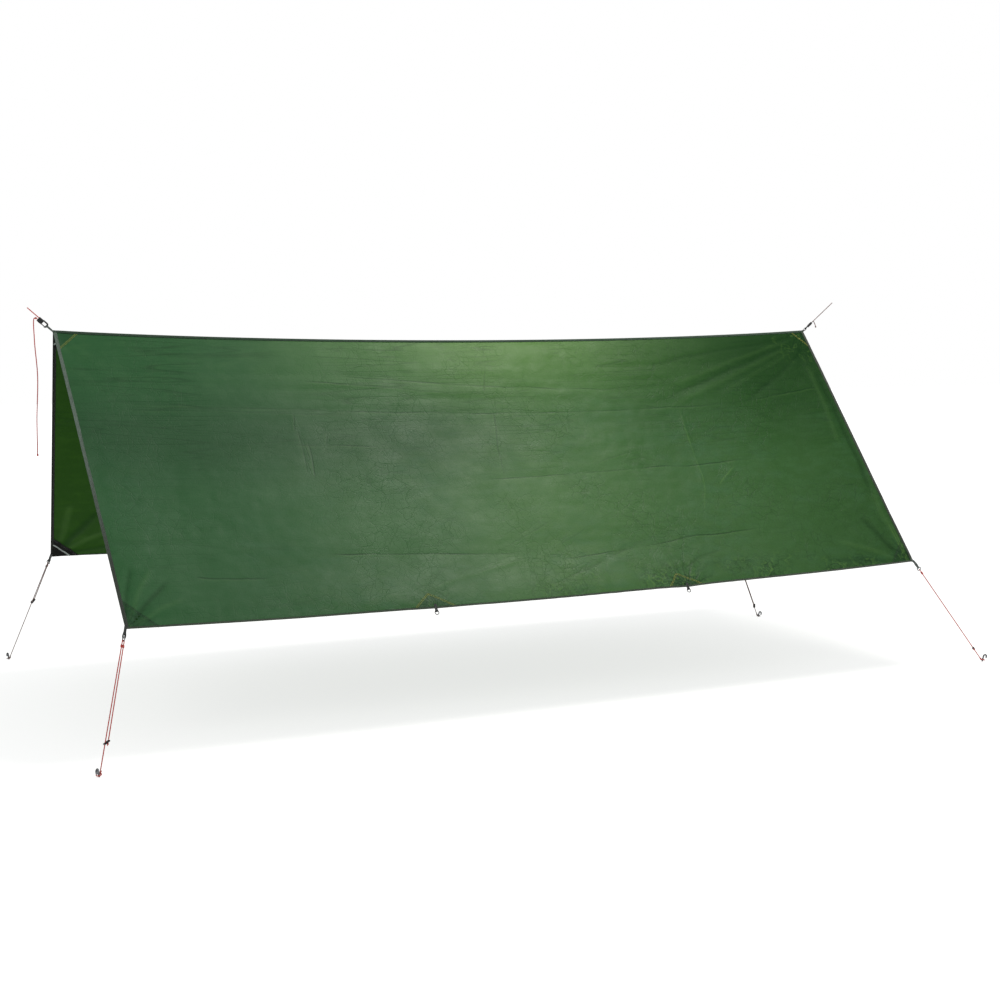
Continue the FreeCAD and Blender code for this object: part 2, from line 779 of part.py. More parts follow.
def ridge_loop(name, ridge_end, direction, normal, strap):
    """Two tails beside the seam, then both legs to a fold round the hook."""
    along = Vector(1 if ridge_end.x > 0 else -1, 0, 0)
    normal0, up = Vector(0, 1, 0), Vector(0, 0, 1)
    # the fold axis lies across the hook, in the hook's own plane
    fold_normal = normal if normal.dot(normal0) >= 0 else normal * -1
    leg = [
        (ridge_end - along * mm("ridge_loop_tail"), up, normal0, SEAM_SPREAD),
        (ridge_end + along * mm("ridge_loop_flat"), up, normal0, SEAM_SPREAD),
    ]
    for s in RIDGE_LEG_SHARES:
        blend = smooth(s)
        leg_normal = square_to(unit(normal0 * (1 - blend) + fold_normal * blend), direction)
        across = leg_normal.cross(direction)
        if across.dot(up) < 0:
            across = across * -1
        offset = SEAM_SPREAD + (FOLD - SEAM_SPREAD) * blend
        leg.append((ridge_end + direction * (strap * s), across, leg_normal, offset))
    loop = folded_loop(leg, direction, mm("ridge_webbing_width"))
    shape_node("ridge_loop_" + name, loop)


def hook_and_block(name, place):
    """Hook, and the slotted block with its pivot bores and cord post."""
    radius, wire = cell("hook_radius"), cell("hook_wire")
    length, width, thick = cell("block_length"), cell("block_width"), cell("block_thick")
    slot_width = cell("block_slot")
    bow = primitive(
        "Torus",
        name + "_hook_bow",
        Placement(Vector(radius.value, 0, 0), Rotation(Vector(0, 0, 1), 90)),
        Radius1=radius,
        Radius2=wire,
        Angle3=180.0,
    )
    root = cylinder(
        name + "_hook_root",
        wire,
        cell("block_start") - radius + cell("hook_overlap"),
        Vector(radius.value, -radius.value, 0),
        Rotation(Vector(0, 1, 0), 90),
    )
    block = box(
        name + "_block",
        length,
        width,
        thick,
        Vector(BLOCK_START, -width.value / 2, -thick.value / 2),
    )
    doc.recompute()
    rounded = doc.addObject("Part::Fillet", name + "_block_round")
    rounded.Base = block
    edge_radius = mm("block_round")
    rounded.Edges = [
        (i, edge_radius, edge_radius) for i in range(1, len(block.Shape.Edges) + 1)
    ]
    # the slot is open on the +Y side
    slot = box(
        name + "_slot",
        length + VOID_EXTRA,
        width,
        slot_width,
        Vector(
            BLOCK_START - VOID_EXTRA / 2,
            -width.value / 2 + mm("slot_floor"),
            -slot_width.value / 2,
        ),
    )
    gate_bore = centred_cylinder(
        name + "_gate_bore",
        cell("gate_pin") + cell("running_gap"),
        thick + VOID_EXTRA,
        mm("gate_pin_at"),
        PIVOT_Y,
    )
    cam_bore = centred_cylinder(
        name + "_cam_pin_bore",
        cell("cam_pin") + cell("pin_fit"),
        thick + VOID_EXTRA,
        mm("cam_at"),
        PIVOT_Y,
    )
    voids = fuse(name + "_block_voids", [slot, gate_bore, cam_bore])
    slotted = cut(name + "_block_cut", rounded, voids)
    # the post reaches half a millimetre into each cheek
    post = centred_cylinder(
        name + "_post", cell("post_radius"), slot_width + 1.0, POST_X, POST_Y
    )
    body = fuse(name + "_tensioner", [slotted, bow, root, post])
    node(body, "ridge_%s_tensioner" % name, place)


def gate(name, place):
    """The arm that closes the hook, with its hub and trunnion."""
    x = mm("gate_pin_at")
    arm = cylinder(
        name + "_gate_arm",
        cell("gate_wire"),
        cell("gate_arm"),
        Vector(x, PIVOT_Y, 0),
        Rotation(Vector(0, 1, 0), -90),
    )
    trunnion = centred_cylinder(
        name + "_gate_trunnion", cell("gate_pin"), cell("block_thick"), x, PIVOT_Y
    )
    hub = centred_cylinder(
        name + "_gate_hub", cell("gate_hub"), cell("gate_hub_width"), x, PIVOT_Y
    )
    node(fuse(name + "_gate", [arm, hub, trunnion]), "ridge_%s_gate" % name, place)


def cam(name, place):
    """Cam lever with its bore, and the pin it turns on."""
    x, width = mm("cam_at"), cell("cam_width")
    grip_x, lever_y = x - mm("cam_lever"), PIVOT_Y - mm("lever_offset")
    hub = centred_cylinder(name + "_cam_hub", cell("cam_hub"), width, x, PIVOT_Y)
    lever = box(
        name + "_cam_lever",
        cell("cam_lever"),
        cell("lever_thick"),
        width,
        Vector(grip_x, lever_y, -width.value / 2),
    )
    grip = centred_cylinder(
        name + "_cam_grip",
        cell("lever_thick") * 0.5,
        width,
        grip_x,
        lever_y + mm("lever_thick") / 2,
    )
    solid = fuse(name + "_cam_solid", [hub, lever, grip])
    # the bore runs past both faces of the cam
    bore = centred_cylinder(
        name + "_cam_bore", cell("cam_pin") + cell("running_gap"), 6.0, x, PIVOT_Y
    )
    node(cut(name + "_cam", solid, bore), "ridge_%s_cam" % name, place)
    pin = centred_cylinder(
        name + "_cam_pin", cell("cam_pin"), cell("block_thick"), x, PIVOT_Y
    )
    node(pin, "ridge_%s_cam_pin" % name, place.multiply(pin.Placement))


def ridge_line(name, place, cord_out):
    """Cord in along the slot, round the post and out again to cord_out."""

    def world(x, y):
        return place.multVec(Vector(x, y, 0))

    upper, lower = POST_Y + CORD_TURN, POST_Y - CORD_TURN
    cord = tube(
        [
            Part.makeLine(world(CORD_EXIT, upper), world(POST_X, upper)),
            arc(world(POST_X, upper), world(POST_X - CORD_TURN, POST_Y), world(POST_X, lower)),
            Part.makeLine(world(POST_X, lower), world(cord_out, lower)),
        ]
    )
    shape_node("ridge_line_" + name, cord)


def ridge_tail(name, place, tail_points):
    """A short lead out of the block, then the hanging end and its knot."""
    y = POST_Y + CORD_TURN
    start = place.multVec(Vector(CORD_EXIT + TAIL_GAP, y, 0))
    lead = place.multVec(Vector(CORD_EXIT + TAIL_LEAD, y, 0))
    points = [start, lead] + [lead + Vector(*p) for p in tail_points]
    edges = []
    previous = start
    for i in range(1, len(points) - 1):
        # round each corner with an arc tangent to both runs
        run_in, run_out = points[i] - points[i - 1], points[i + 1] - points[i]
        dir_in, dir_out = unit(run_in), unit(run_out)
        half_angle = math.acos(dir_in.dot(dir_out)) / 2
        in_share = 0.9 if i == 1 else 0.45
        reach = min(run_in.Length * in_share, run_out.Length * 0.45, TAIL_BEND)
        bend_start, bend_end = points[i] - dir_in * reach, points[i] + dir_out * reach
        bisector = unit(dir_out - dir_in)
        radius = reach / math.tan(half_angle)
        centre = points[i] + bisector * math.sqrt(radius * radius + reach * reach)
        edges.append(Part.makeLine(previous, bend_start))
        edges.append(arc(bend_start, centre - bisector * radius, bend_end))
        previous = bend_end
    edges.append(Part.makeLine(previous, points[-1]))
    knot = Part.makeSphere(mm("tail_knot"), points[-1], unit(points[-1] - points[-2]))
    shape_node("ridge_tail_" + name, tube(edges).fuse([knot]).Solids[0])


def ridge_tensioner(name, end_x, direction, normal, strap, cord_out, tail_points):
    """All the pieces at one end of the ridge."""
    ridge_end = Vector(end_x, 0, RIDGE_HEIGHT)
    direction = unit(Vector(*direction))
    normal = square_to(Vector(*normal), direction)
    ridge_loop(name, ridge_end, direction, normal, strap)
    place = Placement(ridge_end + direction * strap, frame_rotation(direction, normal))
    hook_and_block(name, place)
    gate(name, place)
    cam(name, place)
    ridge_line(name, place, cord_out)
    ridge_tail(name, place, tail_points)


# direction: way the ridge line runs; normal: roughly square to the block's cheeks;
# strap: loop length; cord_out: end of the ridge line along local X;
# tail_points: world offsets from the tail's first bend
ridge_tensioner(
    "left",
    end_x=-mm("ridge_length") / 2,
    direction=(-0.743, 0, 0.669),
    normal=(0, -1, 0),
    strap=24.0,
    cord_out=86.0,
    tail_points=[(-2.0, 0, -70.0), (4.0, 0, -190.0), (-3.0, 0, -330.0), (-5.0, 0, -452.0)],
)
ridge_tensioner(
    "right",
    end_x=mm("ridge_length") / 2,
    direction=(0.783, 0, 0.622),
    normal=(-0.547, 0.475, 0.689),
    strap=15.0,
    cord_out=170.0,
    tail_points=[(9.0, 0, -12.0), (14.0, 0, -26.0)],
)

# ------------------------------------------------------------------- export
doc.recompute()
for obj in doc.Objects:
    if any(state in ("Invalid", "Error") for state in obj.State):
        raise RuntimeError("%s is in error: %s" % (obj.Name, obj.State))
for label, obj in NODES.items():
    if obj.Shape.isNull() or not obj.Shape.isValid():
        raise RuntimeError("%s has no valid shape" % label)
    if not obj.Shape.Solids:
        raise RuntimeError("%s has no solid" % label)
for label, obj in NODES.items():
    obj.Shape.exportStep("parts/%s.step" % label)
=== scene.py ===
"""A ridge tarp pitched on six cords over a studio floor.

The ridge runs along X at y = 0. The front panel falls towards -Y and the back
panel towards +Y, left is -X, and the floor is z = 0. Metres throughout. A place
on a panel is given as x along the ridge and w, the drop down the slope.
"""
import functools
import json
import math

import bpy
import numpy as np
from mathutils import Matrix, Vector

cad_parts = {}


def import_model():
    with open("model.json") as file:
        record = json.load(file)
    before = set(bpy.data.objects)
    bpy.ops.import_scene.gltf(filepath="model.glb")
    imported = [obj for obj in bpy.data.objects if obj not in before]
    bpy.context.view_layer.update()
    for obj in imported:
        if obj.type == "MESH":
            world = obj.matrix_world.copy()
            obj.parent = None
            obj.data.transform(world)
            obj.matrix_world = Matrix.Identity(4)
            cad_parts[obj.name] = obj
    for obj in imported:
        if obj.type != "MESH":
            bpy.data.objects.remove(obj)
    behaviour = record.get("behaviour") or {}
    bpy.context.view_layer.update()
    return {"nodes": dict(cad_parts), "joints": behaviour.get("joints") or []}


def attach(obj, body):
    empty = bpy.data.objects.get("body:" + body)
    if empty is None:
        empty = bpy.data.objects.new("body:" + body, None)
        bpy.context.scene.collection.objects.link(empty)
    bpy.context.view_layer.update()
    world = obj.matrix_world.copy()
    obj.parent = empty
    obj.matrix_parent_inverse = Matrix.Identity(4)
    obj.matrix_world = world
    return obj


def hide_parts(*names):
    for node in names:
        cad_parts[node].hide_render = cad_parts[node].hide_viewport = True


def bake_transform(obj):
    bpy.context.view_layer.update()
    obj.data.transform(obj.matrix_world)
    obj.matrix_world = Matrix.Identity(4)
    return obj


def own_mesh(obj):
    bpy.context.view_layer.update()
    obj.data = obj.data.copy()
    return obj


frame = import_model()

NODES = frame["nodes"]
JOINTS = {j["name"]: j for j in frame["joints"]}
scene = bpy.context.scene

# ======================================================================
# Sizes shared with the CAD
# ======================================================================
SIDES = ("front", "back")
RIDGE_Z = 1.287
RIDGE_HALF = 1.5
PANEL_ANGLE = {"front": math.radians(36.8), "back": math.radians(40.82)}  # from upright
Y_SIGN = {"front": -1.0, "back": 1.0}
SLOPE = {
    s: np.array([0.0, Y_SIGN[s] * math.sin(a), -math.cos(a)]) for s, a in PANEL_ANGLE.items()
}
NORMAL = {
    s: np.array([0.0, Y_SIGN[s] * math.cos(a), math.sin(a)]) for s, a in PANEL_ANGLE.items()
}
# (x, drop) of the left and right hem corners, and of the two hem tie-outs
CORNERS = {
    "front": ((-1.4251, 1.1148), (1.5384, 1.1003)),
    "back": ((-1.4252, 1.1018), (1.5900, 1.1007)),
}
TIE_OUTS = {
    "front": ((-0.430, 1.132), (0.526, 1.130)),
    "back": ((-0.460, 1.118), (0.540, 1.118)),
}
HEM_BULGE = {"front": 0.024, "back": 0.019}
RIDGE_SAG = 0.037
CLOTH_THICK = 0.0006
EDGE_TAPE, HEM_TAPE = 0.011, 0.0065  # folded widths
WEB_WIDTH, WEB_THICK = 0.008, 0.0011
WEB_FOLD_R = 0.0039 + WEB_THICK / 2
LEG_SPREAD = 0.00125 + WEB_THICK / 2  # each webbing leg from the cloth's mid plane
RING_R, CORD_R = 0.0067, 0.0017
BIGHT_R = 0.00315  # bend of a guy cord round its ring
UP = np.array([0, 0, 1.0])
ALONG_X = np.array([1.0, 0, 0])


# ======================================================================
# Small tools
# ======================================================================
def unit(v):
    v = np.asarray(v, float)
    return v / np.linalg.norm(v, axis=-1, keepdims=True)


def square_to(v, axis):
    """Direction of the part of v at right angles to a unit axis."""
    return unit(v - axis * (v * axis).sum(-1, keepdims=True))


def smooth(s):
    return s * s * (3 - 2 * s)


def rise(value, span):
    """Smooth step from 0 to 1 while value runs from 0 to span."""
    return smooth(np.clip(value / span, 0, 1))


def bell(offset, width):
    return np.exp(-((offset / width) ** 2))


def path_length(points):
    """Running length at each point of a path."""
    return np.concatenate([[0], np.cumsum(np.linalg.norm(np.diff(points, axis=0), axis=1))])


def on_panel(side, x, w):
    """Point of the flat pitched plane of a panel."""
    return np.array([x, 0.0, RIDGE_Z]) + SLOPE[side] * w


def perpendicular(a, b, keep):
    """Unit normal of line ab on the side of the point keep."""
    d = b - a
    n = np.array([-d[1], d[0]]) / np.hypot(*d)
    return -n if (keep - a) @ n < 0 else n


# ======================================================================
# Cloth: pitched shape
# ======================================================================
def hem_drop(side, x):
    (xl, wl), (xr, wr) = CORNERS[side]
    t = (x - (xl + xr) / 2) / ((xr - xl) / 2)
    w = wl + (wr - wl) * (x - xl) / (xr - xl) + HEM_BULGE[side] * (1 - t * t)
    for (tie_x, _), pull in zip(TIE_OUTS[side], (0.0012, 0.0030)):
        w = w + pull * bell(x - tie_x, 0.07)
    return w


def base_surface(side, u, v):
    """x, drop and point without folds; u runs left to right, v ridge to hem."""
    (xl, _), (xr, _) = CORNERS[side]
    x_top = -RIDGE_HALF + 2 * RIDGE_HALF * u
    x_hem = xl + (xr - xl) * u
    x = x_top + (x_hem - x_top) * v
    w = hem_drop(side, x_hem) * v
    p = np.array([0.0, 0.0, RIDGE_Z]) + x[..., None] * ALONG_X + w[..., None] * SLOPE[side]
    sag = RIDGE_SAG * np.clip(1 - (x_top / RIDGE_HALF) ** 2, 0, 1) ** 0.9
    p[..., 2] -= sag * (1 - v) ** 1.25
    belly = 0.012 * np.clip(np.sin(np.pi * u), 0, 1) ** 0.8 * np.sin(np.pi * v)
    p -= belly[..., None] * NORMAL[side]
    return x, w, p


# ======================================================================
# Cloth: folds and creases
# ======================================================================
def noise(x, y, cell_x, cell_y, seed):
    """Smooth value noise from -1 to 1."""
    n = 97
    table = np.random.RandomState(seed).uniform(-1, 1, (n, n))
    # offsets keep the cell numbers positive
    gx, gy = x / cell_x + 500.3, y / cell_y + 500.7
    ix, iy = np.floor(gx).astype(int), np.floor(gy).astype(int)
    fx, fy = smooth(gx - ix), smooth(gy - iy)

    def at(i, j):
        return table[i % n, j % n]

    a = at(ix, iy) * (1 - fx) + at(ix + 1, iy) * fx
    b = at(ix, iy + 1) * (1 - fx) + at(ix + 1, iy + 1) * fx
    return a * (1 - fy) + b * fy


def facets(x, y, cell, seed, stretch):
    """Crumple of flat facets: gap in distance to the two nearest seed points."""
    rng = np.random.RandomState(seed)
    nx, ny = int(3.4 / (cell * stretch)) + 2, int(1.4 / cell) + 2
    nearest = np.full(x.shape, 1e9)
    second = np.full(x.shape, 1e9)
    reach = 2.6 * cell * stretch
    for i in range(nx):
        for j in range(ny):
            jx, jy = rng.uniform(-0.5, 0.5, 2)
            px = -1.75 + (i + jx) * cell * stretch
            py = -0.15 + (j + jy) * cell
            lo = np.searchsorted(x[0], px - reach - 0.1)
            hi = np.searchsorted(x[0], px + reach + 0.1)
            if hi <= lo:
                continue
            s = (slice(None), slice(lo, hi))
            d = np.sqrt(((x[s] - px) / stretch) ** 2 + (y[s] - py) ** 2)
            b1, b2 = nearest[s], second[s]
            near = d < b1
            b2[:] = np.where(near, b1, np.minimum(b2, d))
            b1[:] = np.where(near, d, b1)
    return np.minimum(second - nearest, cell)


def polyline_distance(x, y, pts):
    """Signed distance to a polyline and the share of its length reached."""
    pts = np.asarray(pts, float)
    seg = pts[1:] - pts[:-1]
    length = np.hypot(seg[:, 0], seg[:, 1])
    total = length.sum()
    best = np.full(x.shape, 1e9)
    side = np.ones(x.shape)
    share = np.zeros(x.shape)
    run = 0.0
    for (px, py), (sx, sy), ln in zip(pts[:-1], seg, length):
        t = np.clip(((x - px) * sx + (y - py) * sy) / (ln * ln), 0, 1)
        dx, dy = x - (px + t * sx), y - (py + t * sy)
        d = np.hypot(dx, dy)
        near = d < best
        best = np.where(near, d, best)
        side = np.where(near, np.sign(sx * dy - sy * dx + 1e-12), side)
        share = np.where(near, (run + t * ln) / total, share)
        run += ln
    return best * side, share


# Rows: kind, width, height, then the (x, drop) points of the line.
# A fold is rounded and a sharp one is pressed; positive heights stand outward.
FOLDS = {
    "front": [
        # from the right end of the ridge
        ("fold", 0.013, 0.0015, (1.456, 0.035), (1.308, 0.071), (1.119, 0.124),
         (0.908, 0.191), (0.704, 0.254)),
        ("fold", 0.014, 0.0014, (1.449, 0.051), (1.290, 0.116), (1.092, 0.193),
         (0.849, 0.286), (0.643, 0.365)),
        ("fold", 0.010, -0.0019, (1.452, 0.043), (1.30, 0.093), (1.105, 0.158),
         (0.88, 0.238), (0.68, 0.31)),
        ("fold", 0.011, 0.0011, (1.445, 0.071), (1.320, 0.136), (1.156, 0.209), (0.959, 0.297)),
        ("fold", 0.012, -0.0018, (1.444, 0.097), (1.337, 0.177), (1.209, 0.254), (1.088, 0.319)),
        ("fold", 0.010, -0.0016, (1.455, 0.025), (1.295, 0.045), (1.093, 0.070),
         (0.872, 0.103), (0.631, 0.149)),
        ("fold", 0.015, -0.0026, (1.471, 0.173), (1.486, 0.397), (1.490, 0.637), (1.489, 0.868)),
        ("fold", 0.014, 0.0017, (1.448, 0.158), (1.447, 0.386), (1.439, 0.611)),
        # right hem corner
        ("fold", 0.016, 0.0024, (1.519, 1.075), (1.504, 0.968), (1.493, 0.859), (1.495, 0.730)),
        ("fold", 0.016, -0.0024, (1.487, 1.073), (1.438, 0.977), (1.383, 0.870)),
        ("fold", 0.015, 0.0024, (1.465, 1.080), (1.357, 1.029), (1.228, 0.976)),
        ("fold", 0.012, -0.0020, (1.440, 1.091), (1.307, 1.077), (1.143, 1.065)),
        # packing creases, mostly level
        ("sharp", 0.0095, -0.0007, (-1.416, 0.276), (-1.059, 0.288), (-0.609, 0.303),
         (-0.088, 0.324), (0.439, 0.332), (1.158, 0.321)),
        ("sharp", 0.008, 0.0004, (-1.356, 0.301), (-0.927, 0.308), (-0.504, 0.322)),
        ("sharp", 0.008, -0.0008, (-0.764, 0.447), (-0.605, 0.449), (-0.446, 0.463)),
        ("sharp", 0.010, -0.0011, (-0.129, 0.613), (0.105, 0.611), (0.349, 0.605),
         (0.603, 0.599), (0.800, 0.594), (1.188, 0.587)),
        ("sharp", 0.009, -0.0009, (-0.754, 0.889), (-0.501, 0.911), (-0.253, 0.924),
         (-0.025, 0.936)),
        ("sharp", 0.008, -0.0010, (-1.188, 0.948), (-1.064, 0.961), (-0.937, 0.968)),
        ("sharp", 0.012, -0.0007, (-0.576, 0.153), (-0.245, 0.184), (0.143, 0.217),
         (0.600, 0.238)),
        ("fold", 0.012, -0.0014, (-1.289, 0.058), (-1.126, 0.080), (-0.919, 0.077),
         (-0.702, 0.056)),
        ("sharp", 0.010, 0.0008, (1.114, 0.315), (1.288, 0.294), (1.465, 0.278)),
        ("sharp", 0.010, 0.0010, (-0.691, 0.178), (-0.402, 0.204), (-0.065, 0.240)),
        ("sharp", 0.011, -0.0012, (0.052, 0.973), (0.313, 0.956), (0.680, 0.910), (0.967, 0.898)),
        # packing creases down the slope
        ("sharp", 0.006, -0.0008, (-0.736, 0.379), (-0.737, 0.460), (-0.741, 0.572)),
        ("sharp", 0.006, -0.0006, (-0.714, 0.430), (-0.713, 0.500), (-0.716, 0.590)),
        ("sharp", 0.006, -0.0006, (-0.637, 0.400), (-0.646, 0.440), (-0.656, 0.500)),
        ("sharp", 0.007, -0.0006, (0.049, 0.018), (0.029, 0.133), (-0.007, 0.246)),
        ("sharp", 0.008, -0.0007, (0.014, 0.313), (-0.002, 0.453), (-0.033, 0.613)),
        ("sharp", 0.008, 0.0017, (0.791, 0.322), (0.781, 0.470), (0.778, 0.651), (0.727, 0.832)),
        ("sharp", 0.006, 0.0013, (0.931, 0.613), (0.883, 0.656), (0.839, 0.698)),
        ("sharp", 0.006, 0.0010, (-0.737, 0.316), (-0.747, 0.399)),
        # pulls from the two hem tie-outs
        ("fold", 0.009, 0.0012, (-0.456, 1.069), (-0.354, 1.032), (-0.198, 0.990),
         (-0.017, 0.949)),
        ("fold", 0.009, -0.0008, (-0.447, 1.062), (-0.398, 1.009), (-0.327, 0.958)),
        ("fold", 0.009, 0.0010, (0.505, 1.076), (0.372, 1.017), (0.224, 0.982)),
        ("fold", 0.009, 0.0011, (0.516, 1.068), (0.487, 0.968), (0.491, 0.852), (0.542, 0.770)),
        ("fold", 0.009, -0.0010, (0.523, 1.073), (0.621, 1.010), (0.741, 0.973)),
        ("fold", 0.010, 0.0005, (-0.052, 1.001), (0.183, 0.866), (0.424, 0.750)),
        ("fold", 0.010, -0.0007, (-0.024, 1.097), (0.219, 0.998), (0.402, 0.929), (0.635, 0.860)),
        ("fold", 0.009, 0.0004, (-0.332, 1.015), (-0.096, 0.896), (0.127, 0.796)),
        ("fold", 0.009, 0.0004, (0.220, 0.625), (0.362, 0.566), (0.550, 0.507)),
        # left hem corner
        ("fold", 0.012, 0.0022, (-1.418, 1.102), (-1.363, 0.987), (-1.312, 0.896)),
        ("fold", 0.011, -0.0022, (-1.412, 1.102), (-1.338, 1.024), (-1.260, 0.953)),
        ("fold", 0.011, 0.0020, (-1.408, 1.110), (-1.312, 1.053), (-1.215, 1.020)),
        ("fold", 0.010, -0.0018, (-1.425, 1.084), (-1.398, 0.984), (-1.377, 0.881)),
    ],
    "back": [
        # left hem corner
        ("fold", 0.016, 0.0030, (-1.410, 1.090), (-1.385, 0.960), (-1.375, 0.800)),
        ("fold", 0.018, -0.0032, (-1.405, 1.085), (-1.330, 0.960), (-1.270, 0.830)),
        ("fold", 0.016, 0.0030, (-1.395, 1.085), (-1.270, 1.000), (-1.130, 0.930)),
        ("fold", 0.013, -0.0022, (-1.380, 1.092), (-1.230, 1.060), (-1.060, 1.030)),
        # right hem corner
        ("fold", 0.016, 0.0026, (1.535, 1.085), (1.500, 0.960), (1.480, 0.820)),
        ("fold", 0.016, -0.0026, (1.525, 1.080), (1.440, 0.970), (1.350, 0.880)),
        ("fold", 0.014, 0.0022, (1.510, 1.085), (1.380, 1.030), (1.220, 0.990)),
        # ends of the ridge
        ("fold", 0.020, 0.0034, (-1.450, 0.040), (-1.290, 0.100), (-1.090, 0.190),
         (-0.860, 0.280)),
        ("fold", 0.016, -0.0024, (-1.452, 0.030), (-1.280, 0.060), (-1.060, 0.110)),
        ("fold", 0.020, 0.0034, (1.450, 0.040), (1.290, 0.110), (1.090, 0.200), (0.860, 0.300)),
        ("fold", 0.016, -0.0026, (1.448, 0.060), (1.320, 0.160), (1.180, 0.270)),
        # level packing creases, then those down the slope
        ("sharp", 0.0095, -0.0014, (-1.42, 0.290), (-0.70, 0.300), (0.10, 0.315),
         (0.80, 0.305), (1.44, 0.290)),
        ("sharp", 0.010, -0.0016, (-1.38, 0.600), (-0.75, 0.590), (0.05, 0.606),
         (0.70, 0.600), (1.46, 0.585)),
        ("sharp", 0.010, -0.0014, (-1.20, 0.880), (-0.40, 0.900), (0.30, 0.890), (1.10, 0.905)),
        ("sharp", 0.008, -0.0014, (-0.740, 0.080), (-0.750, 0.400), (-0.735, 0.760)),
        ("sharp", 0.008, 0.0015, (0.010, 0.060), (0.000, 0.420), (-0.012, 0.800)),
        ("sharp", 0.008, -0.0014, (0.760, 0.100), (0.752, 0.420), (0.765, 0.860)),
        # pulls from the two hem tie-outs
        ("fold", 0.014, 0.0026, (-0.470, 1.055), (-0.340, 0.990), (-0.160, 0.930)),
        ("fold", 0.013, -0.0022, (-0.480, 1.050), (-0.560, 0.960), (-0.700, 0.900)),
        ("fold", 0.014, 0.0026, (0.530, 1.055), (0.420, 0.970), (0.300, 0.880)),
        ("fold", 0.013, -0.0022, (0.550, 1.052), (0.660, 0.980), (0.820, 0.930)),
    ],
}


def fold_line(k, x, w, pts, width, height, kind):
    """Height of one fold or crease; k seeds the wander of its line."""
    jig = 0.004 * noise(x, w, 0.07, 0.07, 40 + k)
    x, w = x + jig, w + jig * 0.7
    pts = np.asarray(pts, float)
    pad = width * 4
    out = np.zeros(x.shape)
    inside = (
        (x > pts[:, 0].min() - pad)
        & (x < pts[:, 0].max() + pad)
        & (w > pts[:, 1].min() - pad)
        & (w < pts[:, 1].max() + pad)
    )
    if not inside.any():
        return out
    d, share = polyline_distance(x[inside], w[inside], pts)
    ends = rise(share, 0.15) * rise(1 - share, 0.25)
    profile = bell(d, width) if kind == "fold" else np.exp(-np.abs(d) / width)
    out[inside] = height * profile * ends
    return out


def corner_fan(x, w, corner_x, corner_w, inward, reach, count, height, seed):
    """Fine folds that radiate from a loaded corner and die away."""
    dx, dw = x - corner_x, corner_w - w
    r = np.hypot(dx, dw)
    a = np.arctan2(dw, dx * inward)
    phase = np.random.RandomState(seed).uniform(0, 6.28)
    wobble = 0.35 * np.sin(a * 5 + phase) + 0.6 * noise(x, w, 0.11, 0.11, seed + 3)
    fade = np.exp(-((r / reach) ** 1.3)) * rise(r, 0.05)
    return height * np.sin(a * count + wobble + phase) * fade


def fold_field(side, x, w):
    """Height of every fold and crease over one panel, along its normal."""
    h = np.zeros(x.shape)
    for k, (kind, width, height, *pts) in enumerate(FOLDS[side]):
        h += fold_line(k, x, w, pts, width, height, kind)
    seed = 11 if side == "front" else 67
    (xl, wl), (xr, wr) = CORNERS[side]
    fans = (
        # x, drop, inward sign, sign of drop, reach, ray count, height
        (xl, wl, 1, 1, 0.17, 15, 0.0011),
        (xr, wr, -1, 1, 0.20, 15, 0.0012),
        (-RIDGE_HALF, 0.0, 1, -1, 0.15, 13, 0.0010),
        (RIDGE_HALF, 0.0, -1, -1, 0.30, 17, 0.0011),
    )
    for k, (cx, cw, inward, sign, reach, count, height) in enumerate(fans, 1):
        h += corner_fan(x, sign * w, cx, cw, inward, reach, count, height, seed + k)
    # gathers round the tie-outs, the right one stronger
    for k, (tie_x, tie_w) in enumerate(TIE_OUTS[side]):
        dx, dw = x - tie_x, tie_w - w
        r = np.hypot(dx, dw)
        a = np.arctan2(dw, dx)
        fade = np.exp(-((r / (0.12 + 0.05 * k)) ** 1.4)) * rise(r, 0.04)
        h += (0.0005 + 0.0006 * k) * fade * np.sin(
            a * 14 + 2.2 * noise(x, w, 0.08, 0.08, seed + 20 + k)
        )
    # gathers along the hem, denser between the tie-outs
    hem = hem_drop(side, x)
    to_hem = np.clip(hem - w, 0, None)
    fade = np.exp(-to_hem / 0.055) * (0.45 + 0.9 * bell(x - 0.30, 0.42))
    h += 0.0013 * fade * noise(x, w, 0.016, 0.10, seed + 30)
    # crumpled facets, stronger to the right and towards the hem
    crumple = 0.50 + 0.50 * rise(x + 0.6, 1.2) + 0.25 * rise(w - 0.4, 0.5)
    crumple = crumple * (0.75 + 0.5 * noise(x, w, 0.34, 0.30, seed + 41))
    large = facets(x, w, 0.150, seed + 50, 1.5)
    small = facets(x, w, 0.062, seed + 51, 1.25)
    h += crumple * (0.0120 * np.minimum(large, 0.05) + 0.0200 * np.minimum(small, 0.02))
    near_ridge = np.exp(-(((w - 0.17) / 0.15) ** 2)) + 0.35
    layers = (
        # height, weight, shear, cell along x, cell down the slope
        (0.0035, 1.0, 0, 0.42, 0.26),
        (0.0008, 1.0, 0.4, 0.17, 0.11),
        (0.00042, crumple, 0, 0.040, 0.030),
        (0.00040, crumple, 0, 0.022, 0.018),
        (0.0007, near_ridge, 0, 0.42, 0.021),
        (0.0004, near_ridge, 2, 0.21, 0.019),
    )
    for k, (height, weight, shear, cell_x, cell_w) in enumerate(layers):
        h += height * weight * noise(x + shear * w, w, cell_x, cell_w, seed + 60 + k)
    # calm next to the seam and the bound edges
    left = -RIDGE_HALF + (xl + RIDGE_HALF) * w / hem
    right = RIDGE_HALF + (xr - RIDGE_HALF) * w / hem
    calm = (
        rise(w, 0.030)
        * (0.35 + 0.65 * rise(x - left, 0.035))
        * (0.35 + 0.65 * rise(right - x, 0.035))
        * (0.45 + 0.55 * rise(to_hem, 0.035))
    )
    return h * calm


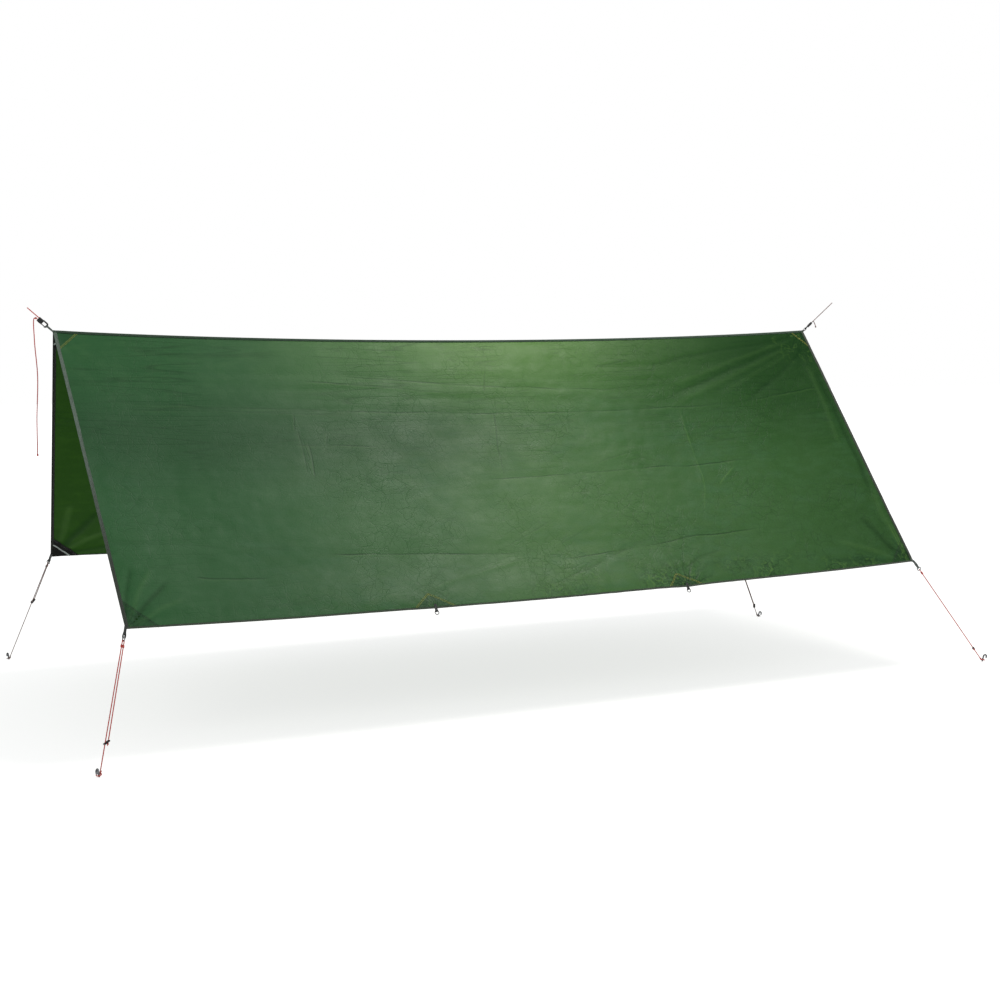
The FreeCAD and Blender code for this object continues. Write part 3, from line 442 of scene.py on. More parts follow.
def crease_fields(side, x, w):
    """Signed distance and weight of the creases, along and across the ridge.

    The weight dies away from each line, so that only its own crossing of zero shows.
    """
    along, across = [], []
    for k, (kind, _, height, *pts) in enumerate(FOLDS[side]):
        (x0, w0), (x1, w1) = pts[0], pts[-1]
        steep = abs(w1 - w0) > abs(x1 - x0) * 0.8
        if kind == "sharp":
            # a crease pressed outward and down the slope catches light instead
            sign = -1.0 if steep and height > 0.0012 else 1.0
            strength = sign * min(1.0, abs(height) / 0.0008)
            (across if steep else along).append((k, pts, strength))
        elif abs(height) < 0.0013 and not steep:
            along.append((k, pts, 0.35))
    out = []
    for group in (along, across):
        best = np.full(x.shape, 1.0)
        dist = np.full(x.shape, 1.0)
        weight = np.zeros(x.shape)
        for k, pts, strength in group:
            jig = 0.005 * noise(x, w, 0.11, 0.11, 340 + k)
            jig = jig + 0.0012 * noise(x, w, 0.020, 0.020, 440 + k)
            d, share = polyline_distance(x + jig, w + jig, pts)
            ends = rise(share, 0.10) * rise(1 - share, 0.14)
            # the line is broken into stretches of unlike depth
            patchy = 0.62 + 0.55 * noise(x, w, 0.09, 0.09, 540 + k)
            near = np.abs(d) < best
            best = np.where(near, np.abs(d), best)
            dist = np.where(near, d, dist)
            fall = rise(0.030 - np.abs(d), 0.015)
            weight = np.where(near, fall * ends * strength * np.clip(patchy, 0, 1), weight)
        out.append((dist, weight))
    return out


def fold_shade(side, x, w):
    """Where the soft folds dip (above 0) and rise (below 0), from -1 to 1: painted shade in the
    dips, painted highlight on the rises.
    """
    out = np.zeros(x.shape)
    for k, (kind, width, height, *pts) in enumerate(FOLDS[side]):
        if kind == "fold":
            out += fold_line(k, x, w, pts, width * 0.75, -height / 0.0022, kind)
    return np.clip(out, -1, 1)


# ======================================================================
# Cloth: drape
# ======================================================================
DRAPE_NU, DRAPE_NV = 121, 46
DRAPE_CAP = 0.014  # largest move kept
CLOTH_SETTINGS = dict(
    quality=6,
    mass=0.012,
    tension_stiffness=60,
    compression_stiffness=25,
    shear_stiffness=22,
    bending_stiffness=0.05,
    tension_damping=8,
    compression_damping=8,
    shear_damping=8,
    air_damping=3.0,
    vertex_group_mass="pin",
    shrink_min=-0.0012,
)


def drape():
    """Hangs both panels as one cloth and returns the change per panel."""
    u, v = np.meshgrid(np.linspace(0, 1, DRAPE_NU), np.linspace(0, 1, DRAPE_NV))
    front, back = (base_surface(side, u, v)[2] for side in SIDES)
    rest = np.concatenate([front[::-1], back[1:]], axis=0)
    rows = rest.shape[0]
    idx = np.arange(rows * DRAPE_NU).reshape(rows, DRAPE_NU)
    quads = np.stack([idx[:-1, :-1], idx[:-1, 1:], idx[1:, 1:], idx[1:, :-1]], -1)
    mesh = bpy.data.meshes.new("drape")
    mesh.from_pydata(rest.reshape(-1, 3).tolist(), [], quads.reshape(-1, 4).tolist())
    ob = bpy.data.objects.new("drape", mesh)
    scene.collection.objects.link(ob)
    # the ridge and the four hem corners are held
    pin = ob.vertex_groups.new(name="pin")
    pin.add([int(i) for i in idx[DRAPE_NV - 1]], 1.0, "REPLACE")
    for r, dr in ((0, 1), (rows - 1, -1)):
        for c, dc in ((0, 1), (DRAPE_NU - 1, -1)):
            pin.add([int(idx[r, c])], 1.0, "REPLACE")
            beside = [int(idx[r + dr, c]), int(idx[r, c + dc]), int(idx[r + dr, c + dc])]
            pin.add(beside, 0.6, "REPLACE")
    mod = ob.modifiers.new("cloth", "CLOTH")
    for key, value in CLOTH_SETTINGS.items():
        setattr(mod.settings, key, value)
    mod.collision_settings.use_collision = False
    mod.point_cache.frame_start = 1
    mod.point_cache.frame_end = 40
    for f in range(1, 36):
        scene.frame_set(f)
    dg = bpy.context.evaluated_depsgraph_get()
    hung = ob.evaluated_get(dg).to_mesh()
    co = np.zeros(len(hung.vertices) * 3)
    hung.vertices.foreach_get("co", co)
    moved = co.reshape(rows, DRAPE_NU, 3) - rest
    scene.frame_set(1)
    bpy.data.objects.remove(ob)
    bpy.data.meshes.remove(mesh)
    fade = rise(np.minimum(u, 1 - u), 0.10) * rise(v, 0.34) * rise(1 - v, 0.20)
    out = {}
    for side, m in (("front", moved[:DRAPE_NV][::-1]), ("back", moved[DRAPE_NV - 1 :])):
        # only the move along the normal is kept; the outline stays as pitched
        off = DRAPE_CAP * np.tanh(m @ NORMAL[side] / DRAPE_CAP) * fade
        out[side] = off[..., None] * NORMAL[side]
    return out


def upsample(field, nv, nu):
    """Cubic resampling of a coarse grid of vectors."""

    def along(a, n):
        t = np.linspace(0, a.shape[0] - 1, n)
        i = np.clip(np.floor(t).astype(int), 0, a.shape[0] - 2)
        f = (t - i)[:, None, None]
        p0 = a[np.clip(i - 1, 0, None)]
        p1, p2 = a[i], a[i + 1]
        p3 = a[np.clip(i + 2, None, a.shape[0] - 1)]
        return (
            p1
            + 0.5 * f * (p2 - p0)
            + f * f * (p0 - 2.5 * p1 + 2 * p2 - 0.5 * p3)
            + f * f * f * (1.5 * p1 - 0.5 * p0 - 1.5 * p2 + 0.5 * p3)
        )

    return along(along(field, nv).transpose(1, 0, 2), nu).transpose(1, 0, 2)


NU, NV = 331, 121
DRAPE = drape()


class Sheet:
    """The finished surface of one panel, sampled on a fine grid."""

    def __init__(self, side):
        self.side = side
        u, v = np.meshgrid(np.linspace(0, 1, NU), np.linspace(0, 1, NV))
        self.x, self.w, p = base_surface(side, u, v)
        if DRAPE is not None:
            p = p + upsample(DRAPE[side], NV, NU)
        self.p = p + fold_field(side, self.x, self.w)[..., None] * self.normals(p)
        self.n = self.normals(self.p)

    def normals(self, p):
        n = np.cross(np.gradient(p, axis=1), np.gradient(p, axis=0))
        if (n.reshape(-1, 3).mean(0) @ NORMAL[self.side]) < 0:
            n = -n
        return unit(n)

    def at(self, u, v):
        """Points and normals at parameters."""
        fu = np.clip(np.asarray(u, float), 0, 1) * (NU - 1)
        fv = np.clip(np.asarray(v, float), 0, 1) * (NV - 1)
        i = np.clip(np.floor(fu).astype(int), 0, NU - 2)
        j = np.clip(np.floor(fv).astype(int), 0, NV - 2)
        a, b = (fu - i)[..., None], (fv - j)[..., None]

        def blend(g):
            return (g[j, i] * (1 - a) + g[j, i + 1] * a) * (1 - b) + (
                g[j + 1, i] * (1 - a) + g[j + 1, i + 1] * a
            ) * b

        return blend(self.p), unit(blend(self.n))

    def at_xw(self, x, w):
        """Points and normals at places (x, drop), found by iteration."""
        (xl, _), (xr, _) = CORNERS[self.side]
        v = w / 1.11
        for _ in range(4):
            lo = -RIDGE_HALF + (xl + RIDGE_HALF) * v
            hi = RIDGE_HALF + (xr - RIDGE_HALF) * v
            u = np.clip((x - lo) / (hi - lo), 0, 1)
            v = np.clip(w / hem_drop(self.side, xl + (xr - xl) * u), 0, 1)
        return self.at(u, v)


SHEET = {side: Sheet(side) for side in SIDES}
# both halves share one line of points under the seam
shared = (SHEET["front"].p[0] + SHEET["back"].p[0]) / 2
for sheet in SHEET.values():
    sheet.p[0] = shared


def patch_shapes(side):
    """Corners (x, drop) of the triangular patches of a panel."""
    (xl, wl), (xr, wr) = CORNERS[side]
    size = 0.094
    xl, xr = xl + EDGE_TAPE, xr - EDGE_TAPE
    wl, wr = wl - HEM_TAPE, wr - HEM_TAPE
    top = RIDGE_HALF - EDGE_TAPE
    shapes = {
        "hem_left": [(xl - 0.004, wl + 0.006), (xl + size, wl + 0.006), (xl - 0.008, wl - size)],
        "hem_right": [(xr + 0.006, wr + 0.006), (xr - 0.001, wr - size), (xr - size, wr + 0.006)],
        "top_left": [(-top - 0.008, 0.004), (-top + 0.071, 0.004), (-top - 0.002, 0.080)],
        "top_right": [(top + 0.008, 0.004), (top + 0.002, 0.080), (top - 0.055, 0.004)],
    }
    half, height = 0.075, 0.056
    for k, (x, w) in enumerate(TIE_OUTS[side]):
        base = w - HEM_TAPE
        shapes["tie_%d" % k] = [
            (x - half, base + 0.0005),
            (x + half, base + 0.0005),
            (x - 0.014 - 0.014 * k, base - height),
        ]
    return {key: np.asarray(pts, float) for key, pts in shapes.items()}


PATCHES = {side: patch_shapes(side) for side in SIDES}


# ======================================================================
# Shader tools
# ======================================================================
def srgb(*rgb):
    """Linear colour from 0-255 display values."""
    lin = (c / 255.0 for c in rgb)
    return (*(c / 12.92 if c <= 0.04045 else ((c + 0.055) / 1.055) ** 2.4 for c in lin), 1.0)


class Value:
    """An output of a shader node; arithmetic on it adds maths nodes."""

    def __init__(self, shader, socket):
        self.shader = shader
        self.socket = socket

    def math(self, operation, *others):
        inputs = dict(enumerate((self, *others)))
        return self.shader.add("ShaderNodeMath", inputs, operation=operation)

    def __add__(self, other):
        return self.math("ADD", other)

    def __sub__(self, other):
        return self.math("SUBTRACT", other)

    def __mul__(self, other):
        return self.math("MULTIPLY", other)

    def __truediv__(self, other):
        return self.math("DIVIDE", other)

    def __abs__(self):
        return self.math("ABSOLUTE")

    def max(self, other):
        return self.math("MAXIMUM", other)

    def sine(self):
        return self.math("SINE")

    def times_plus(self, factor, addend):
        return self.math("MULTIPLY_ADD", factor, addend)

    def map(self, source, to):
        """Linear map of the range source to the range to, clamped."""
        return self.shader.add("ShaderNodeMapRange", dict(enumerate((self, *source, *to))))

    def bell(self, centre, width):
        q = (self - centre) / width
        return (q * q * -1.0).math("EXPONENT")

    def contour(self, level, width):
        """1 where the value equals level, 0 from width off it."""
        return abs(self - level).map((0.0, width), to=(1.0, 0.0))

    def threads(self, pitch, sharp):
        """Regular raised lines: 0 between them and 1 on them."""
        return abs((self * (math.pi / pitch)).sine()).math("POWER", sharp)

    def xyz(self):
        node = self.shader.node("ShaderNodeSeparateXYZ", {0: self})
        return [Value(self.shader, socket) for socket in node.outputs]

    def scaled(self, factors):
        return self.shader.add("ShaderNodeVectorMath", {0: self, 1: factors}, operation="MULTIPLY")

    def noise(self, scale, detail=3.0, rough=0.5, distort=0.0):
        inputs = {
            "Vector": self,
            "Scale": scale,
            "Detail": detail,
            "Roughness": rough,
            "Distortion": distort,
        }
        return self.shader.add("ShaderNodeTexNoise", inputs)


def largest(values):
    return functools.reduce(Value.max, values)


class Shader:
    """A new material with one Principled surface."""

    def __init__(self, name):
        self.mat = bpy.data.materials.new(name)
        self.mat.use_nodes = True
        self.tree = self.mat.node_tree
        self.tree.nodes.clear()
        out = self.node("ShaderNodeOutputMaterial")
        self.bsdf = self.node("ShaderNodeBsdfPrincipled")
        self.tree.links.new(self.bsdf.outputs[0], out.inputs[0])

    def feed(self, socket, value):
        if isinstance(value, Value):
            self.tree.links.new(value.socket, socket)
        else:
            socket.default_value = value

    def node(self, kind, inputs=None, **props):
        node = self.tree.nodes.new(kind)
        for key, value in props.items():
            setattr(node, key, value)
        for key, value in (inputs or {}).items():
            self.feed(node.inputs[key], value)
        return node

    def add(self, kind, inputs=None, output=0, **props):
        return Value(self, self.node(kind, inputs, **props).outputs[output])

    def surface(self, settings):
        """Sets inputs of the surface and returns the material."""
        for name, value in settings.items():
            self.feed(self.bsdf.inputs[name], value)
        return self.mat

    def attribute(self, name):
        return self.add("ShaderNodeAttribute", output="Vector", attribute_name=name)

    def coords(self):
        return self.add("ShaderNodeTexCoord", output="Object")

    def mix(self, amount, below, above):
        return self.add("ShaderNodeMix", {0: amount, 6: below, 7: above}, 2, data_type="RGBA")

    def ramp(self, position, stops):
        node = self.node("ShaderNodeValToRGB", {0: position})
        ramp = node.color_ramp
        ramp.interpolation = "EASE"
        for element, stop in ((ramp.elements[0], stops[0]), (ramp.elements[1], stops[-1])):
            element.position, element.color = stop
        for place, colour in stops[1:-1]:
            ramp.elements.new(place).color = colour
        return Value(self, node.outputs[0])

    def bump(self, height, strength, distance, normal=None):
        inputs = {"Strength": strength, "Distance": distance, "Height": height}
        if normal is not None:
            inputs["Normal"] = normal
        return self.add("ShaderNodeBump", inputs)


# ======================================================================
# Fabric material
# ======================================================================
# base colour from left to right, place and colour: partly the cloth's own hue, partly painted
# light, lighter in the middle and darker at the right end; the inner stops are darker, painted
# shade inside the tarp
INNER_SHADED_TONE = [
    (0.00, srgb(27, 61, 3)), (0.30, srgb(32, 68, 5)),
    (0.60, srgb(34, 72, 8)), (1.00, srgb(28, 62, 4)),
]
OUTER_TONE_AND_LIGHT = [
    (0.00, srgb(38, 87, 49)), (0.16, srgb(36, 82, 45)), (0.34, srgb(44, 87, 44)),
    (0.52, srgb(54, 96, 40)), (0.72, srgb(40, 80, 32)), (1.00, srgb(33, 70, 25)),
]


def outer_tone_and_light(t, col, x, w, broad, streaks):
    """Uneven colour of the outer face with painted light and shade, and where the painted shade at
    the right end is deepest.
    """
    # painted highlight: warmer and lighter under the middle of the ridge
    middle = abs(x - 0.12).map((0.1, 1.0), to=(1.0, 0.0))
    middle_highlight = w.map((0.0, 0.34), to=(0.42, 0.0)) * middle
    col = t.mix(middle_highlight, col, srgb(84, 124, 34))
    # cold blotches away from the ridge
    cold = streaks.map((0.40, 0.7), to=(0.0, 0.5)) * w.map((0.15, 0.5), to=(0.0, 1.0))
    cold = cold * broad.map((0.35, 0.65), to=(0.1, 0.8))
    col = t.mix(cold, col, srgb(30, 78, 56))
    # painted shade: darker at the right end of the ridge
    right_end_shade = x.map((0.45, 1.20), to=(0.0, 0.80)) * w.map((0.10, 0.62), to=(1.0, 0.0))
    col = t.mix(right_end_shade, col, srgb(10, 38, 10))
    # painted light: paler towards the right of the hem
    wear_and_light = w.map((0.36, 0.78), to=(0.0, 0.17)) * x.map((-0.9, 0.35), to=(0.30, 1.0))
    wear_and_light = wear_and_light * x.map((0.85, 1.45), to=(1.0, 0.35))
    col = t.mix(wear_and_light, col, srgb(96, 129, 84))
    # dark level belt on the left
    belt = w.bell(centre=0.42, width=0.18) * x.map((-0.20, 0.45), to=(0.38, 0.0))
    return t.mix(belt, col, srgb(18, 46, 28)), right_end_shade


def patch_cover(side, x, w):
    """1 where a patch lies behind the fabric, soft over about 1 mm."""

    def half_plane(a, b, keep):
        n = perpendicular(a, b, keep)
        s = x.times_plus(float(n[0]), float(-(a @ n)))
        s = w.times_plus(float(n[1]), s)
        return s.map((-0.0006, 0.0006), to=(0.0, 1.0))

    covers = []
    for tri in PATCHES[side].values():
        mid = tri.mean(axis=0)
        planes = [half_plane(tri[k], tri[(k + 1) % 3], mid) for k in range(3)]
        covers.append(functools.reduce(Value.__mul__, planes))
    return largest(covers)


def corner_stitches(t, col, side, x, w):
    """Twin rows of green stitches beside the tape at the right hem corner."""
    xr, wr = CORNERS[side][1]
    edge = w.times_plus((xr - RIDGE_HALF) / wr, RIDGE_HALF - EDGE_TAPE)
    gap = edge - x
    near = w.map((wr - 0.20, wr - 0.12), to=(0.0, 1.0))
    rows = largest([gap.bell(centre, width=0.0012) * near for centre in (0.010, 0.021)])
    beat = w.threads(pitch=0.0040, sharp=1.0).map((0.2, 0.5), to=(0.35, 1.0))
    return t.mix(rows * beat * 0.50, col, srgb(96, 132, 50))


def crease_marks(t):
    """Painted shade in the crease valley, painted highlight on the lip beside it and on the
    outward creases.
    """
    valleys, lips, glows = [], [], []
    for key in ("crease_along", "crease_across"):
        d, weight, _ = t.attribute(key).xyz()
        valleys.append(d.bell(centre=0.0, width=0.0027) * weight)
        lips.append(d.bell(centre=0.0062, width=0.0034) * weight)
        glows.append((valleys[-1] * -1.0).max(0.0))
    return largest(valleys), largest(lips), largest(glows)


def level_wrinkles(t, x, w, obj):
    """Fine level wrinkles: contour lines of a stretched noise, drawn as painted shade and dents.
    """
    flat = t.add("ShaderNodeCombineXYZ", {0: x * 0.9, 1: w * 13.0})
    wide = flat.noise(scale=2.0, detail=0.6, rough=0.45).contour(level=0.52, width=0.030)
    fine = flat.noise(scale=3.3, detail=0.4, rough=0.45).contour(level=0.46, width=0.030)
    here = obj.noise(scale=3.6, detail=2.0).map((0.40, 0.60), to=(0.05, 1.0))
    high = w.map((0.10, 0.75), to=(1.0, 0.35))
    return wide.max(fine * 0.7) * here * high


def crumple_edges(t, x, obj):
    """Thin edges of short facets, in two sizes, drawn as painted shade and dents."""
    wobble = t.add("ShaderNodeTexNoise", {"Vector": obj, "Scale": 16.0}, "Color")
    shift = wobble.scaled((0.05, 0.05, 0.05))
    warped = t.add("ShaderNodeVectorMath", {0: obj, 1: shift}, operation="ADD")
    edges = []
    for scale, width, strength in ((17.0, 0.030, 1.0), (41.0, 0.055, 0.7)):
        inputs = {"Vector": warped, "Scale": scale}
        gap = t.add("ShaderNodeTexVoronoi", inputs, "Distance", feature="DISTANCE_TO_EDGE")
        edges.append(gap.map((0.0, width), to=(1.0, 0.0)) * strength)
    busy = obj.noise(scale=3.4, detail=3.0, rough=0.6).map((0.40, 0.62), to=(0.15, 1.0))
    busy = busy * x.map((-0.9, 0.7), to=(0.45, 1.0))
    return largest(edges) * busy


def pull_marks(side, x, w, obj):
    """Rays that fan out from the pulled points and knots close to them, drawn as painted shade;
    shine close to them, a painted highlight.
    """
    (xl, wl), (xr, wr) = CORNERS[side]
    pulls = (
        # x, drop, reach, strength
        (*TIE_OUTS[side][0], 0.10, 0.55),
        (*TIE_OUTS[side][1], 0.16, 1.0),
        (xl, wl, 0.13, 0.6),
        (xr, wr, 0.16, 0.9),
        (RIDGE_HALF, 0.0, 0.30, 0.7),
    )
    stray = obj.noise(scale=13.0, detail=3.0, rough=0.6)
    rays, zones = [], []
    for pull_x, pull_w, reach, strength in pulls:
        dx, dw = x - pull_x, w - pull_w
        angle = dw.math("ARCTAN2", dx)
        r = (dx * dx + dw * dw).math("SQRT")
        ray = abs(angle.times_plus(9.0, stray * 6.0).sine()).map((0.0, 0.62), to=(1.0, 0.0))
        rays.append(ray * r.map((0.02, reach), to=(strength, 0.0)))
        zones.append(r.map((0.0, reach * 0.75), to=(strength, 0.0)))
    # the right of the hem is pinched too, in places
    low = w.map((wr - 0.10, wr - 0.01), to=(0.0, 0.75)) * x.map((-0.30, 0.30), to=(0.0, 1.0))
    places = obj.noise(scale=5.0, detail=2.0).map((0.46, 0.60), to=(0.0, 1.0))
    pinch = largest(zones).max(low * places)

    def coarse():
        return obj.noise(scale=30.0, detail=1.5, distort=0.5)

    small = obj.noise(scale=52.0, detail=1.0, distort=0.3)
    knots = coarse().contour(level=0.50, width=0.045).max(small.contour(level=0.47, width=0.050))
    shine = coarse().contour(level=0.60, width=0.035) * pinch
    return largest(rays), knots * pinch, shine


def fabric_material(name, side, inner):
    """Thin coated ripstop: weave, square ripstop grid, soft sheen, and painted light and shade in
    its colour.
    """
    t = Shader(name)
    x, w, dip = t.attribute("panel_xw").xyz()
    obj = t.coords()
    across = x.map((-1.55, 1.60), to=(0.0, 1.0))
    # base colour: painted light on the outer face, painted shade on the inner face
    col = t.ramp(across, INNER_SHADED_TONE if inner else OUTER_TONE_AND_LIGHT)
    # slow, uneven dye and coating
    broad = obj.noise(scale=2.2, detail=3.0, rough=0.55)
    col = t.mix(broad.map((0.3, 0.7), to=(0.0, 0.16)), col, srgb(34, 66, 30))
    streaks = obj.scaled((1.0, 1.0, 2.4)).noise(scale=14.0, detail=4.0, rough=0.6)
    pale = srgb(70, 112, 30) if inner else srgb(92, 128, 80)
    col = t.mix(streaks.map((0.45, 0.8), to=(0.0, 0.12)), col, pale)
    if not inner:
        # painted highlight and painted shade, with uneven colour, on the outer face
        col, right_end_shade = outer_tone_and_light(t, col, x, w, broad, streaks)
    # weave: fine threads with a heavier square grid
    fine = (x.threads(pitch=0.0009, sharp=2.0) + w.threads(pitch=0.0009, sharp=2.0)) * 0.5
    grid = x.threads(pitch=0.0056, sharp=40.0).max(w.threads(pitch=0.0056, sharp=40.0))
    col = t.mix(grid * 0.22, col, srgb(30, 62, 34))
    col = t.mix(fine * (0.05 if inner else 0.10), col, srgb(100, 140, 92))
    # doubled fabric reads darker
    col = t.mix(patch_cover(side, x, w) * 0.34, col, srgb(20, 46, 30))
    if not inner:
        col = corner_stitches(t, col, side, x, w)
    valley, lip, glow = crease_marks(t)
    wrinkle = level_wrinkles(t, x, w, obj)
    edges = crumple_edges(t, x, obj)
    rays, knots, shine = pull_marks(side, x, w, obj)
    # painted shade along crease valleys, level wrinkles, facet edges and rays
    dark = largest([valley * 0.66, wrinkle * 0.42, edges * 0.38, rays * 0.72])
    # painted shade in the knots; painted highlight on the shine, the outward creases and the
    # crease lips
    for amount, colour in (
        (dark, srgb(16, 44, 22)),
        (knots * 0.80, srgb(8, 32, 18)),
        (shine * 0.45, srgb(104, 142, 62)),
        (glow * 0.16, srgb(112, 152, 78)),
        # soft folds: painted shade in the dip, painted highlight on the rise
        (dip.map((0.08, 1.0), to=(0.0, 0.40)), srgb(12, 42, 16)),
        (dip.map((-0.10, -1.0), to=(0.0, 0.07)), srgb(112, 152, 86)),
        (lip * 0.05, srgb(120, 160, 90)),
    ):
        col = t.mix(amount, col, colour)
    rough = obj.noise(scale=9.0, detail=4.0, rough=0.6).map((0.3, 0.7), to=(0.40, 0.52))
    # relief: weave, crinkle, slubs, then the drawn marks
    normal = t.bump(grid * 0.6 + fine * 0.3, strength=0.35, distance=0.00012)
    crinkle = obj.noise(scale=55.0, detail=5.0, rough=0.62, distort=0.6)
    normal = t.bump(crinkle, strength=0.30, distance=0.0012, normal=normal)
    slub = obj.scaled((3.0, 3.0, 40.0)).noise(scale=9.0)
    normal = t.bump(slub, strength=0.18, distance=0.0006, normal=normal)
    marks = valley * -0.35 + lip * 0.12 + wrinkle * -0.35
    marks = marks + edges * -0.70 + rays * -0.80 + knots * -0.80
    return t.surface({
        "Base Color": col,
        "Roughness": rough,
        # less gloss where the painted shade at the right end is deepest
        "Specular IOR Level": 0.03 if inner else right_end_shade.times_plus(-0.16, 0.17),
        "Sheen Weight": 0.0 if inner else 0.02,
        "Sheen Roughness": 0.4,
        "Sheen Tint": srgb(150, 190, 140),
        "Normal": t.bump(marks, strength=0.72, distance=0.0010, normal=normal),
    })


# ======================================================================
# Other materials; strip_sa holds length along and place across a strip
# ======================================================================
def tape_material(name, dark, light, rib=0.0013, rough=0.72, bump=0.0004, sheen=0.22, foot=None):
    """Ribbed tape, ribs across it; foot, if given, is mixed in more towards the ground, so the
    tape is darker towards the bottom.
    """
    t = Shader(name)
    s, a, _ = t.attribute("strip_sa").xyz()
    ribs = s.threads(rib, sharp=1.3)
    yarn = a.threads(pitch=0.0007, sharp=1.6)
    grime = t.coords().noise(scale=60.0, detail=4.0, rough=0.6)
    wear = t.coords().noise(scale=7.0)
    darker = tuple(0.6 * c for c in dark[:3]) + (1,)
    lighter = tuple(min(1, 1.5 * c) for c in light[:3]) + (1,)
    col = t.mix(ribs, dark, light)
    col = t.mix(grime.map((0.4, 0.75), to=(0.0, 0.35)), col, darker)
    col = t.mix(wear.map((0.45, 0.8), to=(0.0, 0.22)), col, lighter)
    # darker towards the ground
    if foot is not None:
        z = t.coords().xyz()[2]
        col = t.mix(z.map((0.95, 0.55), to=(0.0, 0.85)), col, foot)
    return t.surface({
        "Base Color": col,
        "Roughness": ribs.map((0.0, 1.0), to=(rough + 0.12, rough)),
        "Specular IOR Level": min(0.25, sheen * 1.2),
        "Sheen Weight": sheen,
        "Sheen Roughness": 0.5,
        "Normal": t.bump(ribs + yarn * 0.35, strength=0.7, distance=bump),
    })


def webbing_material(name, dark, light):
    """Flat webbing with a herringbone weave."""
    t = Shader(name)
    s, a, _ = t.attribute("strip_sa").xyz()
    twill = (s + abs(a) * 0.9).threads(pitch=0.0014, sharp=1.2)
    yarn = a.threads(pitch=0.0010, sharp=1.5)
    grime = t.coords().noise(scale=220.0, rough=0.6)
    col = t.mix(twill * 0.8, dark, light)
    return t.surface({
        "Base Color": t.mix(grime.map((0.4, 0.8), to=(0.0, 0.35)), col, dark),
        "Roughness": twill.map((0.0, 1.0), to=(0.8, 0.6)),
        "Sheen Weight": 0.2,
        "Normal": t.bump(twill + yarn * 0.5, strength=0.7, distance=0.0004),
    })


def cord_material(name, main, dark, fleck):
    """Braided cord with darker valleys and a lighter tracer yarn."""
    t = Shader(name)
    s, a, _ = t.attribute("strip_sa").xyz()
    twist = 620.0  # radians per metre
    right, left = a + s * twist, a - s * twist
    braid = abs((right * 3.0).sine()) * abs((left * 3.0).sine())
    tracer = right.sine().math("GREATER_THAN", 0.93)
    grime = t.coords().noise(scale=900.0, rough=0.6)
    col = t.mix(braid.map((0.0, 0.45), to=(0.0, 1.0)), dark, main)
    col = t.mix(tracer * 0.75, col, fleck)
    return t.surface({
        "Base Color": t.mix(grime.map((0.45, 0.8), to=(0.0, 0.25)), col, dark),
        "Roughness": 0.62,
        "Sheen Weight": 0.35,
        "Sheen Roughness": 0.4,
        "Normal": t.bump(braid, strength=0.6, distance=0.0003),
    })


def thread_material(name, dark, light):
    t = Shader(name)
    fuzz = t.coords().noise(scale=1500.0, detail=2.0)
    return t.surface({
        "Base Color": t.mix(fuzz, dark, light),
        "Roughness": 0.55,
        "Sheen Weight": 0.2,
        "Normal": t.bump(fuzz, strength=0.4, distance=0.0002),
    })


def plastic_material(name, base, wear_and_light, rough=0.42):
    """Moulded plastic: fine spark texture, rubbed edges."""
    t = Shader(name)
    obj = t.coords()
    spark = obj.noise(scale=1800.0, detail=4.0, rough=0.6)
    blotch = obj.noise(scale=260.0, detail=4.0, rough=0.6)
    edge = t.add("ShaderNodeNewGeometry", output="Pointiness").map((0.52, 0.60), to=(0.0, 0.5))
    col = t.mix(blotch.map((0.3, 0.7), to=(0.0, 0.35)), base, wear_and_light)
    return t.surface({
        "Base Color": t.mix(edge, col, wear_and_light),
        "Roughness": blotch.map((0.3, 0.7), to=(rough - 0.07, rough + 0.12)),
        "Specular IOR Level": 0.45,
        "Normal": t.bump(spark, strength=0.25, distance=0.0002),
    })


def metal_material(name, base, dark, rough, metal=0.9):
    """Metal with drawn lines and faint tarnish."""
    t = Shader(name)
    obj = t.coords()
    lines = obj.scaled((400.0, 400.0, 60.0)).noise(scale=3.0, detail=4.0, rough=0.6)
    spots = obj.noise(scale=340.0, detail=4.0, rough=0.65)
    return t.surface({
        "Base Color": t.mix(spots.map((0.42, 0.75), to=(0.0, 0.55)), base, dark),
        "Metallic": metal,
        "Roughness": lines.map((0.25, 0.75), to=(rough - 0.06, rough + 0.14)),
        "Normal": t.bump(lines, strength=0.15, distance=0.0001),
    })


